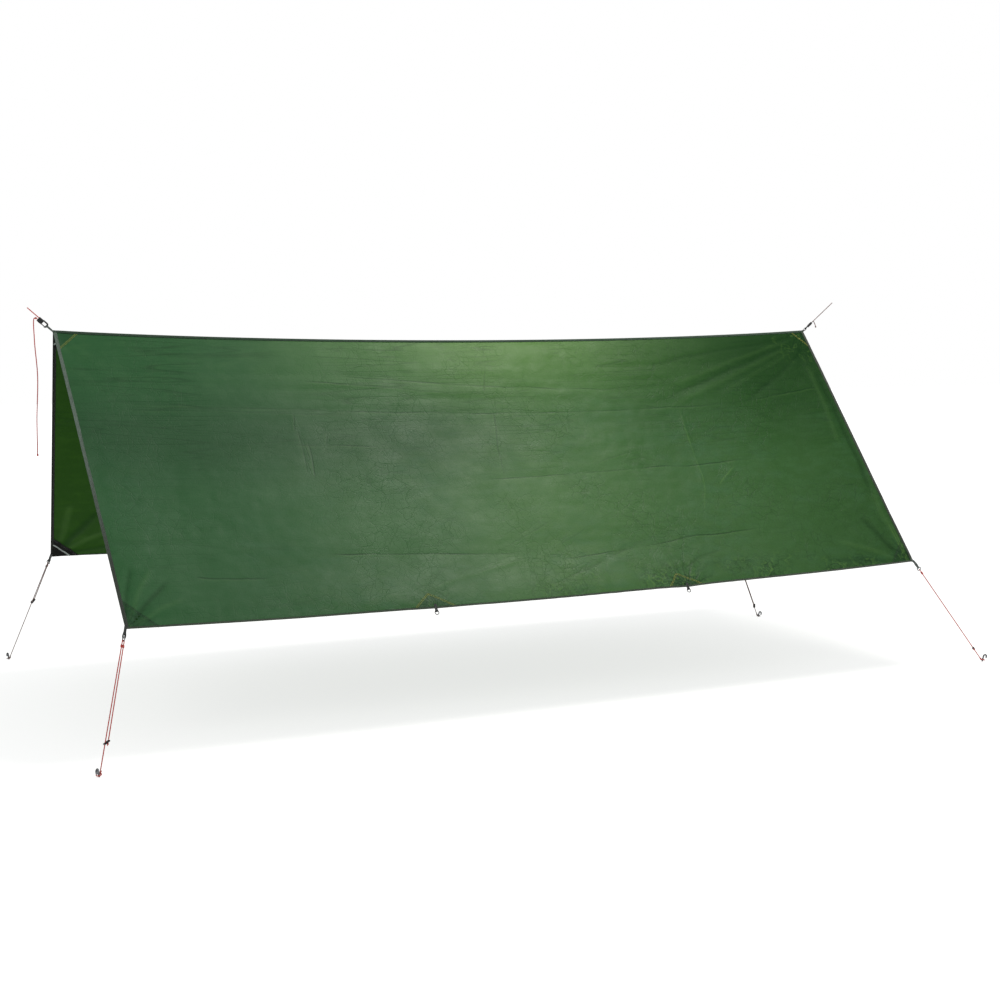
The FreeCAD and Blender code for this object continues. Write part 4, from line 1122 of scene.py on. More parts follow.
MAT = {
    "front_out": fabric_material("canopy_front_outer", "front", inner=False),
    # inner faces: the fabric darkened with painted shade
    "front_in": fabric_material("canopy_front_inner", "front", inner=True),
    "back_out": fabric_material("canopy_back_outer", "back", inner=False),
    "back_in": fabric_material("canopy_back_inner", "back", inner=True),
    "seam": tape_material("ridge_seam_fabric", srgb(22, 44, 30), srgb(38, 66, 44)),
    "edge": tape_material(
        "edge_tape", srgb(60, 72, 64), srgb(104, 120, 108), foot=srgb(38, 42, 34)
    ),
    # painted shade: a near black copy of the grey edge tape, for the back panel's left edge in the
    # shade inside
    "edge_shaded": tape_material(
        "edge_tape_shaded", srgb(14, 15, 13), srgb(30, 32, 28), rough=0.8, sheen=0.06
    ),
    "edge_brown": tape_material("edge_tape_brown", srgb(34, 40, 32), srgb(58, 68, 54)),
    "hem": tape_material("hem_tape", srgb(38, 48, 38), srgb(66, 80, 62)),
    "patch": tape_material(
        "patch_fabric_black", srgb(5, 6, 5), srgb(12, 14, 11),
        rib=0.0009, rough=0.7, bump=0.0002, sheen=0.05,
    ),
    "patch_tape": tape_material("patch_tape_grey", srgb(96, 104, 100), srgb(150, 158, 154)),
    "web": webbing_material("loop_webbing_grey", srgb(50, 56, 54), srgb(98, 106, 102)),
    "web_dark": webbing_material("loop_webbing_dark", srgb(24, 27, 26), srgb(52, 56, 54)),
    "cord": cord_material(
        "guy_cord_red", srgb(206, 40, 26), srgb(112, 16, 12), srgb(176, 120, 104)
    ),
    # a spare cord colour that no piece wears
    "cord_pale": cord_material(
        "guy_cord_weathered", srgb(146, 100, 88), srgb(84, 58, 52), srgb(170, 158, 150)
    ),
    "cord_grey": cord_material(
        "guy_cord_grey", srgb(112, 98, 94), srgb(60, 52, 50), srgb(176, 96, 84)
    ),
    "thread": thread_material("stitch_yellow_green", srgb(128, 134, 38), srgb(168, 172, 66)),
    "thread_grey": thread_material("stitch_grey", srgb(96, 104, 100), srgb(150, 156, 152)),
    "thread_dark": thread_material("stitch_dark", srgb(26, 34, 30), srgb(52, 60, 54)),
    "plastic": plastic_material("slider_black", srgb(9, 9, 10), srgb(32, 32, 34)),
    "tension": plastic_material("tensioner_black", srgb(9, 9, 10), srgb(30, 30, 32), rough=0.40),
    "gate": metal_material(
        "gate_steel_black", srgb(26, 27, 28), srgb(12, 13, 13), rough=0.40, metal=0.3
    ),
    "ring": metal_material(
        "ring_steel_dark", srgb(42, 45, 45), srgb(20, 22, 22), rough=0.50, metal=0.1
    ),
    "peg": metal_material("peg_alloy", srgb(118, 120, 124), srgb(78, 80, 84), rough=0.40),
}


# ======================================================================
# Mesh tools
# ======================================================================
def make(name, verts, faces, mats, index, attrs, sharp=None):
    """A smooth object; mats are keys of MAT, sharp an edge angle in degrees."""
    mesh = bpy.data.meshes.new(name)
    mesh.from_pydata(np.asarray(verts, float).tolist(), [], [list(map(int, f)) for f in faces])
    for key in mats:
        mesh.materials.append(MAT[key])
    mesh.polygons.foreach_set("material_index", np.asarray(index, np.int32))
    for key, value in attrs.items():
        a = mesh.attributes.new(key, "FLOAT_VECTOR", "POINT")
        a.data.foreach_set("vector", np.asarray(value, np.float32).ravel())
    mesh.polygons.foreach_set("use_smooth", [True] * len(mesh.polygons))
    if sharp is not None:
        mesh.set_sharp_from_angle(angle=math.radians(sharp))
    mesh.update()
    ob = bpy.data.objects.new(name, mesh)
    scene.collection.objects.link(ob)
    return ob


class Batch:
    """Collects closed solids that go into one object."""

    def __init__(self):
        self.verts, self.faces, self.mats, self.strip = [], [], [], []
        self.count = 0

    def add(self, verts, faces, mat=0, strip=None):
        verts = np.asarray(verts, float)
        self.verts.append(verts)
        self.faces.extend([[i + self.count for i in f] for f in faces])
        self.mats.extend([mat] * len(faces))
        self.strip.append(np.zeros((len(verts), 3)) if strip is None else np.asarray(strip, float))
        self.count += len(verts)

    def build(self, name, mats, sharp=None):
        attrs = {"strip_sa": np.concatenate(self.strip)}
        return make(name, np.concatenate(self.verts), self.faces, mats, self.mats, attrs, sharp)


def register(ob, node, rides=None):
    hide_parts(node)
    if rides:
        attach(ob, rides)


def blend_to_panel(ob, side):
    """Bakes the object's transform into its mesh; the points where the top would hand over to the
    panel are worked out but not used.
    """
    start, end = (tuple(on_panel(side, 0.0, w)) for w in (0.045, 0.210))
    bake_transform(ob)


def loft(rings, closed=False):
    """Outward facing solid through closed rings of equal size."""
    rings = np.asarray(rings, float)
    n, m = rings.shape[:2]
    faces = []
    for i in range(n if closed else n - 1):
        a, b = i * m, ((i + 1) % n) * m
        for j in range(m):
            k = (j + 1) % m
            faces.append([a + j, a + k, b + k, b + j])
    if not closed:
        faces.append(list(range(m))[::-1])
        faces.append([(n - 1) * m + j for j in range(m)])
    verts = rings.reshape(-1, 3)
    volume = 0.0
    for f in faces:
        for q, r in zip(f[1:-1], f[2:]):
            volume += np.dot(verts[f[0]], np.cross(verts[q], verts[r]))
    if volume < 0:
        faces = [f[::-1] for f in faces]
    return verts, faces


def strip_coords(lengths, across):
    """strip_sa for lofted rings."""
    out = np.zeros((len(lengths) * len(across), 3))
    out[:, 0] = np.repeat(lengths, len(across))
    out[:, 1] = np.tile(across, len(lengths))
    return out


def dash(batch, a, b, n, mat, width=0.0008, height=0.0006):
    """One raised stitch from a to b on a surface with normal n."""
    ln = np.linalg.norm(b - a)
    d = (b - a) / ln
    w = unit(np.cross(n, d))
    rings = []
    for s, k in ((0.0, 0.35), (0.22, 0.95), (0.78, 0.95), (1.0, 0.35)):
        c = a + d * (ln * s) + n * (height * (0.25 if k < 0.5 else 0.55))
        side, crown, root = w * (width / 2 * k), n * (height * 0.6 * k), n * (height * 0.5 * k)
        rings.append([c + side, c + crown, c - side, c - root])
    batch.add(*loft(rings), mat)


def stitch_line(batch, sheet, a, b, up, width, height, mat):
    """Running stitch from a to b in (x, drop), lying on the fabric."""
    pitch, on = 0.0042, 0.0027
    length = np.hypot(*(b - a))
    s = np.arange(0, length - on, pitch)

    def at(q):
        pts = a + np.outer(q / length, b - a)
        return sheet.at_xw(pts[:, 0], pts[:, 1])

    starts, normals = at(s)
    ends, _ = at(s + on)
    for p, q, n in zip(starts, ends, normals):
        dash(batch, p + n * up, q + n * up, n, mat, width, height)


# ======================================================================
# Canopy
# ======================================================================
def canopy(side):
    sheet = SHEET[side]
    p = sheet.p.copy()
    # stop just inside the folded tapes
    p[:, 0] += (p[:, 1] - p[:, 0]) * 0.20
    p[:, -1] += (p[:, -2] - p[:, -1]) * 0.20
    p[-1] += (p[-2] - p[-1]) * 0.20
    # at the seam both halves share one upright normal
    n = sheet.n.copy()
    n[0] = UP
    faces_at = [(p + n * half).reshape(-1, 3) for half in (CLOTH_THICK / 2, -CLOTH_THICK / 2)]
    verts = np.concatenate(faces_at)
    idx = np.arange(NV * NU).reshape(NV, NU)
    off = NV * NU
    q = np.stack([idx[:-1, :-1], idx[:-1, 1:], idx[1:, 1:], idx[1:, :-1]], -1).reshape(-1, 4)
    corner, right, _, below = verts[q[0]]
    outward = np.cross(right - corner, below - corner) @ NORMAL[side] > 0
    outer = q if outward else q[:, ::-1]
    inner = outer[:, ::-1] + off
    loop = [*idx[0], *idx[1:, -1], *idx[-1, -2::-1], *idx[-2:0:-1, 0]]
    rim = []
    for a, b in zip(loop, loop[1:] + loop[:1]):
        f = [a, b, b + off, a + off]
        rim.append(f[::-1] if outward else f)
    faces = outer.tolist() + inner.tolist() + rim
    index = [0] * len(outer) + [1] * len(inner) + [0] * len(rim)

    def both_faces(*columns):
        return np.tile(np.stack(columns, -1).reshape(-1, 3), (2, 1))

    x, w = sheet.x, sheet.w
    # third value: where painted fold shade and highlight go
    attrs = {"panel_xw": both_faces(x, w, fold_shade(side, x, w))}
    for key, (d, weight) in zip(("crease_along", "crease_across"), crease_fields(side, x, w)):
        attrs[key] = both_faces(d, weight, np.zeros_like(d))
    ob = make("canopy_" + side, verts, faces, [side + "_out", side + "_in"], index, attrs)
    register(ob, side + "_panel")
    blend_to_panel(ob, side)


def tape_section(width, thick, slot):
    """Folded tape, fold at 0 and both lips at width: (inward, normal)."""
    h, s = thick / 2, slot / 2
    return np.array(
        [
            (width, s), (width, h * 0.86), (width - 0.0004, h), (width * 0.5, h * 1.02),
            (0.0016, h), (0.0005, h * 0.72), (0.0, 0.0), (0.0005, -h * 0.72),
            (0.0016, -h), (width * 0.5, -h * 1.02), (width - 0.0004, -h),
            (width, -h * 0.86), (width, -s), (0.0018, -s), (0.0018, s),
        ]
    )


def edge_frame(sheet, kind, t):
    """Points, inward directions, normals and lengths along an edge."""
    fixed = np.zeros_like(t) if kind == "left" else np.ones_like(t)
    if kind == "hem":
        u, v, du, dv = t, fixed, 0, -0.016
    else:
        u, v, du, dv = fixed, t, (0.006 if kind == "left" else -0.006), 0
    p, n = sheet.at(u, v)
    q, _ = sheet.at(u + du, v + dv)
    along = unit(np.gradient(p, axis=0))
    inward = square_to(q - p, along)
    return p, inward, square_to(square_to(n, inward), along), path_length(p)


def binding(side, kind, mat):
    """Folded edge tape with its stitch line."""
    if kind == "hem":
        count, width, thick = 420, HEM_TAPE, 0.0024
    else:
        count, width, thick = 170, EDGE_TAPE, 0.0027
    p, inward, n, s = edge_frame(SHEET[side], kind, np.linspace(0.0, 1.0, count))
    section = tape_section(width, thick, slot=0.0010)
    seed = {"left": 5, "right": 6, "hem": 7}[kind] + (0 if side == "front" else 10)
    pucker = 0.0004 * noise(s, s * 0, 0.011, 1.0, seed)
    waver = 0.0006 * noise(s, s * 0, 0.05, 1.0, seed + 30)
    middle = np.abs(section[:, 0] - width * 0.5) < 0.001
    rings = []
    for i in range(count):
        a = section[:, 0] + waver[i] * (section[:, 0] > 0.01)
        h = section[:, 1] + np.where(middle, np.sign(section[:, 1]) * pucker[i], 0)
        rings.append(p[i] + inward[i] * a[:, None] + n[i] * h[:, None])
    batch = Batch()
    batch.add(*loft(rings), 0, strip_coords(s, section[:, 0]))
    # two thread rows, one on each face
    pitch, on = 0.0048, 0.0031
    q = np.arange(0.004, s[-1] - 0.006, pitch)

    def sample(arr, at):
        return np.stack([np.interp(at, s, arr[:, k]) for k in range(3)], -1)

    rows = zip(sample(p, q), sample(p, q + on), sample(inward, q), unit(sample(n, q)))
    for start, end, inw, nn in rows:
        for face in (1, -1):
            o = inw * (width - 0.0022) + nn * (thick / 2 * 0.98 * face)
            dash(batch, start + o, end + o, nn * face, 1)
    ob = batch.build("%s_%s_tape" % (side, kind), [mat, "thread_dark"], 40)
    node = "%s_%s_binding" % (side, kind)
    if kind == "hem":
        register(ob, node, side + "_panel")
    else:
        register(ob, node)
        blend_to_panel(ob, side)


for side in SIDES:
    canopy(side)
for side, left_mat in (("front", "edge"), ("back", "edge_shaded")):
    binding(side, "left", left_mat)
    binding(side, "right", "edge_brown")
    binding(side, "hem", "hem")


def ridge_seam():
    """Felled seam: a rolled ridge with a short wing down each slope."""
    n = 400
    u = np.linspace(0.0, 1.0, n)
    line, _ = SHEET["front"].at(u, u * 0)
    x = line[:, 0]
    z = np.convolve(np.pad(line[:, 2], 6, mode="edge"), np.ones(13) / 13, "valid")
    z[0], z[-1] = line[0, 2], line[-1, 2]
    pucker = 0.0004 * noise(x, x * 0, 0.012, 1.0, 90)

    def place(side, down, up):
        return SLOPE[side] * down + NORMAL[side] * up

    # half section from the wing's lower edge up to the roll: (down slope, off slope)
    half = ((0.0060, 0.0006), (0.0060, 0.0014), (0.0045, 0.0018), (0.0018, 0.0026))
    section = np.array([
        *(place("front", *q) for q in half),
        (0, -0.0006, 0.0040),
        (0, 0.0006, 0.0040),
        *(place("back", *q) for q in half[::-1]),
        place("back", 0.0008, 0.0006),
        (0, 0.0, -0.0016),
        place("front", 0.0008, 0.0006),
    ])
    lift = np.zeros_like(section)
    lift[2], lift[7] = NORMAL["front"], -NORMAL["back"]
    centre = np.stack([x, np.zeros(n), z], -1)[:, None]
    batch = Batch()
    rings = centre + section + pucker[:, None, None] * lift
    strip = strip_coords(x - x[0], np.linspace(-0.009, 0.009, len(section)))
    batch.add(*loft(rings), 0, strip)
    pitch, on = 0.0048, 0.0031
    q = np.arange(-RIDGE_HALF + 0.012, RIDGE_HALF - 0.012, pitch)
    for a, za, zb in zip(q, np.interp(q, x, z), np.interp(q + on, x, z)):
        for side in SIDES:
            o = place(side, 0.0050, 0.0017)
            start, end = np.array([a, 0, za]) + o, np.array([a + on, 0, zb]) + o
            dash(batch, start, end, NORMAL[side], 1)
    ob = batch.build("ridge_seam_tape", ["seam", "thread_dark"], 50)
    register(ob, "ridge_seam", "ridge")


ridge_seam()


# ======================================================================
# Patches on the inner face
# ======================================================================
def patch_piece(batch, sheet, tri, up=-0.0012, thick=0.0007, n=12):
    """A triangular patch following the fabric, as a thin closed solid."""
    a, b, c = tri
    pts, index = [], {}
    for i in range(n + 1):
        for j in range(n + 1 - i):
            index[(i, j)] = len(pts)
            pts.append(a + (b - a) * (i / n) + (c - a) * (j / n))
    pts = np.asarray(pts)
    p, normals = sheet.at_xw(pts[:, 0], pts[:, 1])
    off = len(pts)
    faces = []
    for i in range(n):
        for j in range(n - i):
            tris = [((i, j), (i + 1, j), (i, j + 1))]
            if j < n - i - 1:
                tris.append(((i + 1, j), (i + 1, j + 1), (i, j + 1)))
            for keys in tris:
                face = [index[key] for key in keys]
                faces.append(face)
                faces.append([k + off for k in face[::-1]])
    rim = [(i, 0) for i in range(n)] + [(n - k, k) for k in range(n)]
    rim += [(0, n - k) for k in range(n)]
    ids = [index[r] for r in rim]
    for s, e in zip(ids, ids[1:] + ids[:1]):
        faces.append([e, s, s + off, e + off])
    verts = np.concatenate([p + normals * up, p + normals * (up - thick)])
    v0, v1, v2 = verts[faces[0]]
    if np.cross(v1 - v0, v2 - v0) @ NORMAL[sheet.side] < 0:
        faces = [f[::-1] for f in faces]
    strip = np.tile(np.column_stack([pts, np.zeros(off)]), (2, 1))
    batch.add(verts, faces, 0, strip)


def band(batch, sheet, a, b, mat, width=0.0055, up=-0.0021, thick=0.0007, steps=26):
    """A flat tape sewn across a patch from a to b."""
    ln = np.hypot(*(b - a))
    d = (b - a) / ln
    m = np.array([-d[1], d[0]]) * (width / 2)
    rings, strip = [], []
    for k in range(steps + 1):
        c = a + (b - a) * (k / steps)
        ring = []
        for sign, lift in ((1, up), (-1, up), (-1, up - thick), (1, up - thick)):
            q = c + m * sign
            p, n = sheet.at_xw(q[:1], q[1:])
            ring.append(p[0] + n[0] * lift)
            strip.append((ln * k / steps, sign * width / 2, 0))
        rings.append(ring)
    batch.add(*loft(rings), mat, strip)


def patches(side):
    sheet = SHEET[side]
    corner, top, tie = Batch(), Batch(), Batch()
    targets = {"hem": corner, "top": top, "tie": tie}
    for key, tri in PATCHES[side].items():
        kind = key[:3]
        target = targets[kind]
        patch_piece(target, sheet, tri)
        a, b, c = tri
        mid = tri.mean(axis=0)
        # two rows of stitches along each open edge, on both faces of the fabric
        width, mat = (0.0009, 2) if kind == "hem" else (0.0017, 1)
        for start, end in ((a, c), (b, c)) if kind == "tie" else ((b, c),):
            d = (end - start) / np.hypot(*(end - start)) * 0.002
            n = perpendicular(start, end, mid)
            for inset in (0.0025, 0.0068):
                line = (start + n * inset + d, end + n * inset - d)
                stitch_line(target, sheet, *line, up=0.0003, width=width, height=0.0008, mat=mat)
                stitch_line(target, sheet, *line, up=-0.0022, width=0.0010, height=0.0007, mat=2)
        if kind != "tie":
            # grey tape across the patch, parallel to its open edge
            share = 0.66
            band(target, sheet, a + (b - a) * share, a + (c - a) * share, mat=3)
    mats = ["patch", "thread", "thread_dark", "patch_tape"]
    panel = side + "_panel"
    ob = corner.build(side + "_hem_corner_patch_set", mats, 40)
    register(ob, side + "_corner_patches", panel)
    ob = top.build(side + "_ridge_end_patch_set", mats, 40)
    register(ob, side + "_corner_patches")
    blend_to_panel(ob, side)
    ob = tie.build(side + "_tie_patch_set", mats, 40)
    register(ob, side + "_tieout_patches", panel)


for side in SIDES:
    patches(side)


# ======================================================================
# Webbing and cord tools
# ======================================================================
def web_section(w, t):
    """Webbing section with woven edges: (across, through)."""
    h, k = w / 2, t / 2
    return np.array(
        [
            (h, k * 0.35), (h - 0.0003, k * 0.85), (h - 0.0009, k), (0.0, k),
            (-h + 0.0009, k), (-h + 0.0003, k * 0.85), (-h, k * 0.35), (-h, -k * 0.35),
            (-h + 0.0003, -k * 0.85), (-h + 0.0009, -k), (0.0, -k),
            (h - 0.0009, -k), (h - 0.0003, -k * 0.85), (h, -k * 0.35),
        ]
    )


def ribbon(batch, stations, width=WEB_WIDTH):
    """Webbing through stations of (centre, across, through)."""
    sec = web_section(width, WEB_THICK)
    rings = [c + np.outer(sec[:, 0], w) + np.outer(sec[:, 1], t) for c, w, t in stations]
    lengths = path_length([c for c, _, _ in stations])
    batch.add(*loft(rings), 0, strip_coords(lengths, sec[:, 0]))


def fold_back(leg, d):
    """Stations of a leg, a half turn at its end, and the leg back again.

    A leg is a list of (centre, across, through, offset from the centre).
    """
    out = [(c + t * off, w, t) for c, w, t, off in leg]
    centre, w, t, _ = leg[-1]
    for k in range(1, 16):
        a = math.pi * k / 16
        radial = t * math.cos(a) + d * math.sin(a)
        out.append((centre + radial * WEB_FOLD_R, w, radial))
    return out + [(c - t * off, w, -t) for c, w, t, off in reversed(leg)]


def panel_loop_leg(start, tail_dir, n0, d, length, twist=0):
    """Leg of a loop sewn over a panel edge and running out along d."""
    tail, out = 0.015, 0.0035  # length over the cloth and past its edge
    t0 = square_to(n0, d)
    w0 = np.cross(d, t0)
    tail_w = np.cross(tail_dir, n0)
    if np.dot(tail_w, w0) < 0:
        tail_w = -tail_w
    leg = [
        (start - tail_dir * (tail * k), tail_w, n0, LEG_SPREAD)
        for k in (1.0, 0.75, 0.5, 0.25, 0.0)
    ]
    start = start + tail_dir * out
    leg.append((start, tail_w, n0, LEG_SPREAD))
    for s in np.linspace(0.10, 1.0, 16):
        a = math.radians(twist) * smooth(s)
        t = t0 * math.cos(a) + w0 * math.sin(a)
        off = LEG_SPREAD + (WEB_FOLD_R - LEG_SPREAD) * smooth(s)
        leg.append((start + d * (length * s), np.cross(d, t), t, off))
    return leg


def bar_tacks(batch, root, places, inward, along, n, lift=0.00125 + WEB_THICK, length=0.0066):
    """Close zigzag stitching across webbing at places, on both its faces."""
    step, width = 0.0011, 0.0016
    steps = max(4, int(length / step))
    for face in (1, -1):
        for place in places:
            centre = root + inward * place + n * (face * lift)
            pts = [
                centre
                + along * (length * (k / steps - 0.5))
                + inward * (width / 2 * (1 if k % 2 else -1))
                for k in range(steps + 1)
            ]
            for a, b in zip(pts, pts[1:]):
                dash(batch, a, b, n * face, 1, width=0.0007)


def resample(pts, step):
    pts = np.asarray(pts, float)
    d = path_length(pts)
    q = np.linspace(0, d[-1], max(2, int(d[-1] / step) + 1))
    return np.stack([np.interp(q, d, pts[:, k]) for k in range(3)], -1)


def add_cord(batch, path, radius, sides=14, closed=False, rounded=False):
    """A braided cord along a path; rounded closes it with sealed tips."""
    braid, pitch = 0.10, 0.0075  # relief as a share of the radius, and lay length
    path = np.asarray(path, float)
    if closed:
        tangents = np.roll(path, -1, 0) - np.roll(path, 1, 0)
    else:
        tangents = np.gradient(path, axis=0)
    tangents = unit(tangents)
    s = path_length(path)
    tip = np.ones(len(path))
    if rounded:
        k = np.clip(np.minimum(s, s[-1] - s) / 0.0012, 0, 1)
        tip = 0.25 + 0.75 * np.sqrt(np.clip(1 - (1 - k) ** 2, 0, 1))
    seed = UP if abs(tangents[0][2]) < 0.9 else ALONG_X
    a = unit(np.cross(tangents[0], seed))
    th = np.linspace(0, 2 * np.pi, sides, endpoint=False)
    rings = []
    for p, tangent, length, taper in zip(path, tangents, s, tip):
        a = square_to(a, tangent)
        b = np.cross(tangent, a)
        turn = 2 * np.pi / pitch * length / 2
        lump = np.abs(np.sin(2 * th + turn)) * np.abs(np.sin(2 * th - turn))
        r = radius * (1 - braid + braid * 1.25 * lump) * taper
        rings.append(p + np.outer(np.cos(th) * r, a) + np.outer(np.sin(th) * r, b))
    batch.add(*loft(rings, closed), 0, strip_coords(s, th))


def add_wraps(batch, centre, axis, side_dir, radius, turns, length, cord_r):
    """Wraps of cord round an axis, as a barrel knot has."""
    axis = unit(axis)
    a = square_to(side_dir, axis)
    b = np.cross(axis, a)
    q = np.linspace(0, 1, int(turns * 22) + 1)
    ang = 2 * np.pi * turns * q
    r = radius * (1 - 0.18 * (2 * q - 1) ** 2)
    path = (
        np.asarray(centre)
        + np.outer((q - 0.5) * length, axis)
        + np.outer(np.cos(ang) * r, a)
        + np.outer(np.sin(ang) * r, b)
    )
    add_cord(batch, path, cord_r, sides=12, rounded=True)


# ======================================================================
# Guy lines at the four hem corners
# ======================================================================
# corner: 0 left, 1 right; peg: (x, y) of its eye; out: level direction of its lean
# strap: loop length; twist: of the loop, degrees; slider: its distance from the corner
# travel: slider travel, for a joint that gives no range
GUYS = {
    "front_left": dict(
        side="front", corner=0, peg=(-1.542, -0.828), out=(-0.59, -0.81), strap=0.021,
        twist=62, slider=0.345, travel=0.20, hand=-1, web="web_dark", cord="cord",
    ),
    "front_right": dict(
        side="front", corner=1, peg=(1.850, -0.700), out=(0.97, -0.25), strap=0.027,
        twist=52, slider=0.448, travel=0.30, hand=1, web="web", cord="cord",
    ),
    "back_left": dict(
        side="back", corner=0, peg=(-1.540, 1.120), out=(-0.30, 0.95), strap=0.020,
        twist=50, slider=0.262, travel=0.15, hand=1, web="web_dark", cord="cord_grey",
    ),
    "back_right": dict(
        side="back", corner=1, peg=(1.680, 0.560), out=(0.32, -0.95), strap=0.020,
        twist=35, slider=0.440, travel=0.30, hand=1, web="web", cord="cord_grey",
    ),
}
PEG_LEAN = math.radians(15.0)
EYE_Z, EYE_R = 0.006, 0.0075
SLIDER_TILT = math.radians(45)
HOLE_PITCH = 0.013 * math.cos(SLIDER_TILT)
HOLE_HALF = 0.0025 / math.cos(SLIDER_TILT)  # half the hole's length along the cord
CORD_STEP = 0.0011


def circle(centre, a, b, count):
    """Closed ring of points with half axes a and b."""
    angles = np.linspace(0, 2 * np.pi, count, endpoint=False)
    return [centre + a * math.cos(q) + b * math.sin(q) for q in angles]


def guy_loop(name, g, leg, corner, d, in_plane):
    n0 = NORMAL[g["side"]]
    batch = Batch()
    ribbon(batch, fold_back(leg, d))
    along = unit(np.cross(in_plane, n0))
    bar_tacks(batch, corner, (-0.012, -0.005), in_plane, along, n0)
    thread = "thread_grey" if g["web"] == "web" else "thread_dark"
    ob = batch.build(name + "_loop", [g["web"], thread], 45)
    register(ob, g["side"] + "_corner_loops", g["side"] + "_panel")


def standing_line(name, g, far, end, knot, d, t, w, peg_out, peg_axis):
    """Bight through the ring, line, knot and eye on the peg."""
    batch = Batch()
    bight = [
        far + t * (BIGHT_R * math.cos(a)) - d * (BIGHT_R * math.sin(a))
        for a in np.linspace(0, np.pi, 26)
    ]
    line = resample([end, knot - d * 0.0042], CORD_STEP)
    add_cord(batch, np.concatenate([bight, line[1:]]), CORD_R)
    add_wraps(batch, knot - d * 0.0005, d, t, 0.0019, 3.2, 0.0078, cord_r=0.00135)
    eye = knot + peg_out * (EYE_R + 0.0008)
    ring = circle(eye, peg_out * EYE_R, np.cross(peg_axis, peg_out) * EYE_R, 64)
    add_cord(batch, ring, CORD_R, closed=True)
    stub = resample([knot + t * 0.0016 - d * 0.002, knot + t * 0.0052 - d * 0.009], CORD_STEP)
    add_cord(batch, stub, 0.0012, sides=12, rounded=True)
    # a whipping that holds both strands just below the ring
    for lift in (0.0, 0.0026, 0.0052):
        wide = t * (BIGHT_R + 0.0002 + CORD_R + 0.0007) + d * 0.0006
        oval = circle(far + d * 0.0125 + d * lift, wide, w * (CORD_R + 0.0009), 40)
        add_cord(batch, oval, 0.0012, sides=10, closed=True)
    ob = batch.build(name + "_line", [g["cord"]])
    register(ob, name + "_guy_line", name + "_guy_line")


def free_strand(name, g, start, stop, d):
    """Strand from the ring down to the slider; the share of it kept at full slider travel is
    worked out but not used.
    """
    q = np.linspace(0, 1, int(np.linalg.norm(stop - start) / CORD_STEP))
    batch = Batch()
    add_cord(batch, start + np.outer(q, stop - start), CORD_R)
    ob = batch.build(name + "_strand", [g["cord"]])
    register(ob, name + "_free_strand", name + "_guy_line")
    joint = name + "_slider_slide"
    if "range_m" in JOINTS[joint]:
        travel = max(abs(r) for r in JOINTS[joint]["range_m"])
    else:
        travel = g["travel"]
    keep = 1 - travel / float(np.dot(stop - start, d))
    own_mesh(ob)


def stopper_knot(name, g, hole, d, t):
    """Knot below the slider, with the cord through its hole."""
    batch = Batch()
    stub = resample([hole - d * (HOLE_HALF + 0.0022), hole + d * (HOLE_HALF + 0.0105)], 0.0010)
    add_cord(batch, stub, CORD_R - 0.0001, rounded=True)
    centre = hole + d * (HOLE_HALF + 0.0046)
    add_wraps(batch, centre, d, t, 0.00175, 2.4, 0.0046, cord_r=0.00125)
    ob = batch.build(name + "_stopper", [g["cord"]])
    register(ob, name + "_stopper_knot", name + "_slider")


def guy(name, g):
    n0 = NORMAL[g["side"]]
    corner = on_panel(g["side"], *CORNERS[g["side"]][g["corner"]])
    out = unit([*g["out"], 0])
    peg_axis = out * math.sin(PEG_LEAN) + UP * math.cos(PEG_LEAN)
    peg_out = out * math.cos(PEG_LEAN) - UP * math.sin(PEG_LEAN)
    knot = np.array([*g["peg"], EYE_Z]) - peg_out * (EYE_R + 0.0008)
    d = unit(knot - corner)
    in_plane = square_to(d, n0)
    leg = panel_loop_leg(corner, in_plane, n0, d, g["strap"], g["twist"])
    top, w, t, _ = leg[-1]
    t = t * g["hand"]
    far = top + d * (2 * RING_R)
    end = far - t * BIGHT_R
    # the standing line runs parallel to d, so its knot shifts aside
    knot = end + d * np.dot(knot - end, d)
    guy_loop(name, g, leg, corner, d, in_plane)
    standing_line(name, g, far, end, knot, d, t, w, peg_out, peg_axis)
    slider = end + d * (g["slider"] - np.dot(end - corner, d))
    hole = slider + t * HOLE_PITCH - d * (HOLE_PITCH * math.tan(SLIDER_TILT))
    start = far + t * BIGHT_R + d * 0.0002
    free_strand(name, g, start, hole - d * (HOLE_HALF + 0.0026), d)
    stopper_knot(name, g, hole, d, t)


for name, g in GUYS.items():
    guy(name, g)


# ======================================================================
# Loops at the hem tie-outs
# ======================================================================
def tie_loop(side, k, strap):
    hem = on_panel(side, *TIE_OUTS[side][k])
    n0, slope = NORMAL[side], SLOPE[side]
    d = unit(slope + np.array([0, 0, -0.3]))
    batch = Batch()
    ribbon(batch, fold_back(panel_loop_leg(hem, slope, n0, d, strap), d))
    bar_tacks(batch, hem, (-0.0115, -0.0045), slope, ALONG_X, n0)
    name = "%s_tie_%s_loop" % (side, ("left", "right")[k])
    ob = batch.build(name, ["web_dark", "thread_dark"], 45)
    register(ob, side + "_tieout_loops", side + "_panel")


for side, k, strap in (
    ("front", 0, 0.004), ("front", 1, 0.002), ("back", 0, 0.004), ("back", 1, 0.004),
):
    tie_loop(side, k, strap)


# ======================================================================
# Ridge ends: loop, cord and tail of each tensioner
# ======================================================================
# places in the tensioner block: x along its cord, y across it
POST_X, POST_Y = 0.026, -0.001
POST_TURN = 0.0014 + CORD_R + 0.0001  # radius of the cord's bend round the post
EXIT_X = 0.018 + 0.019 + 0.0023


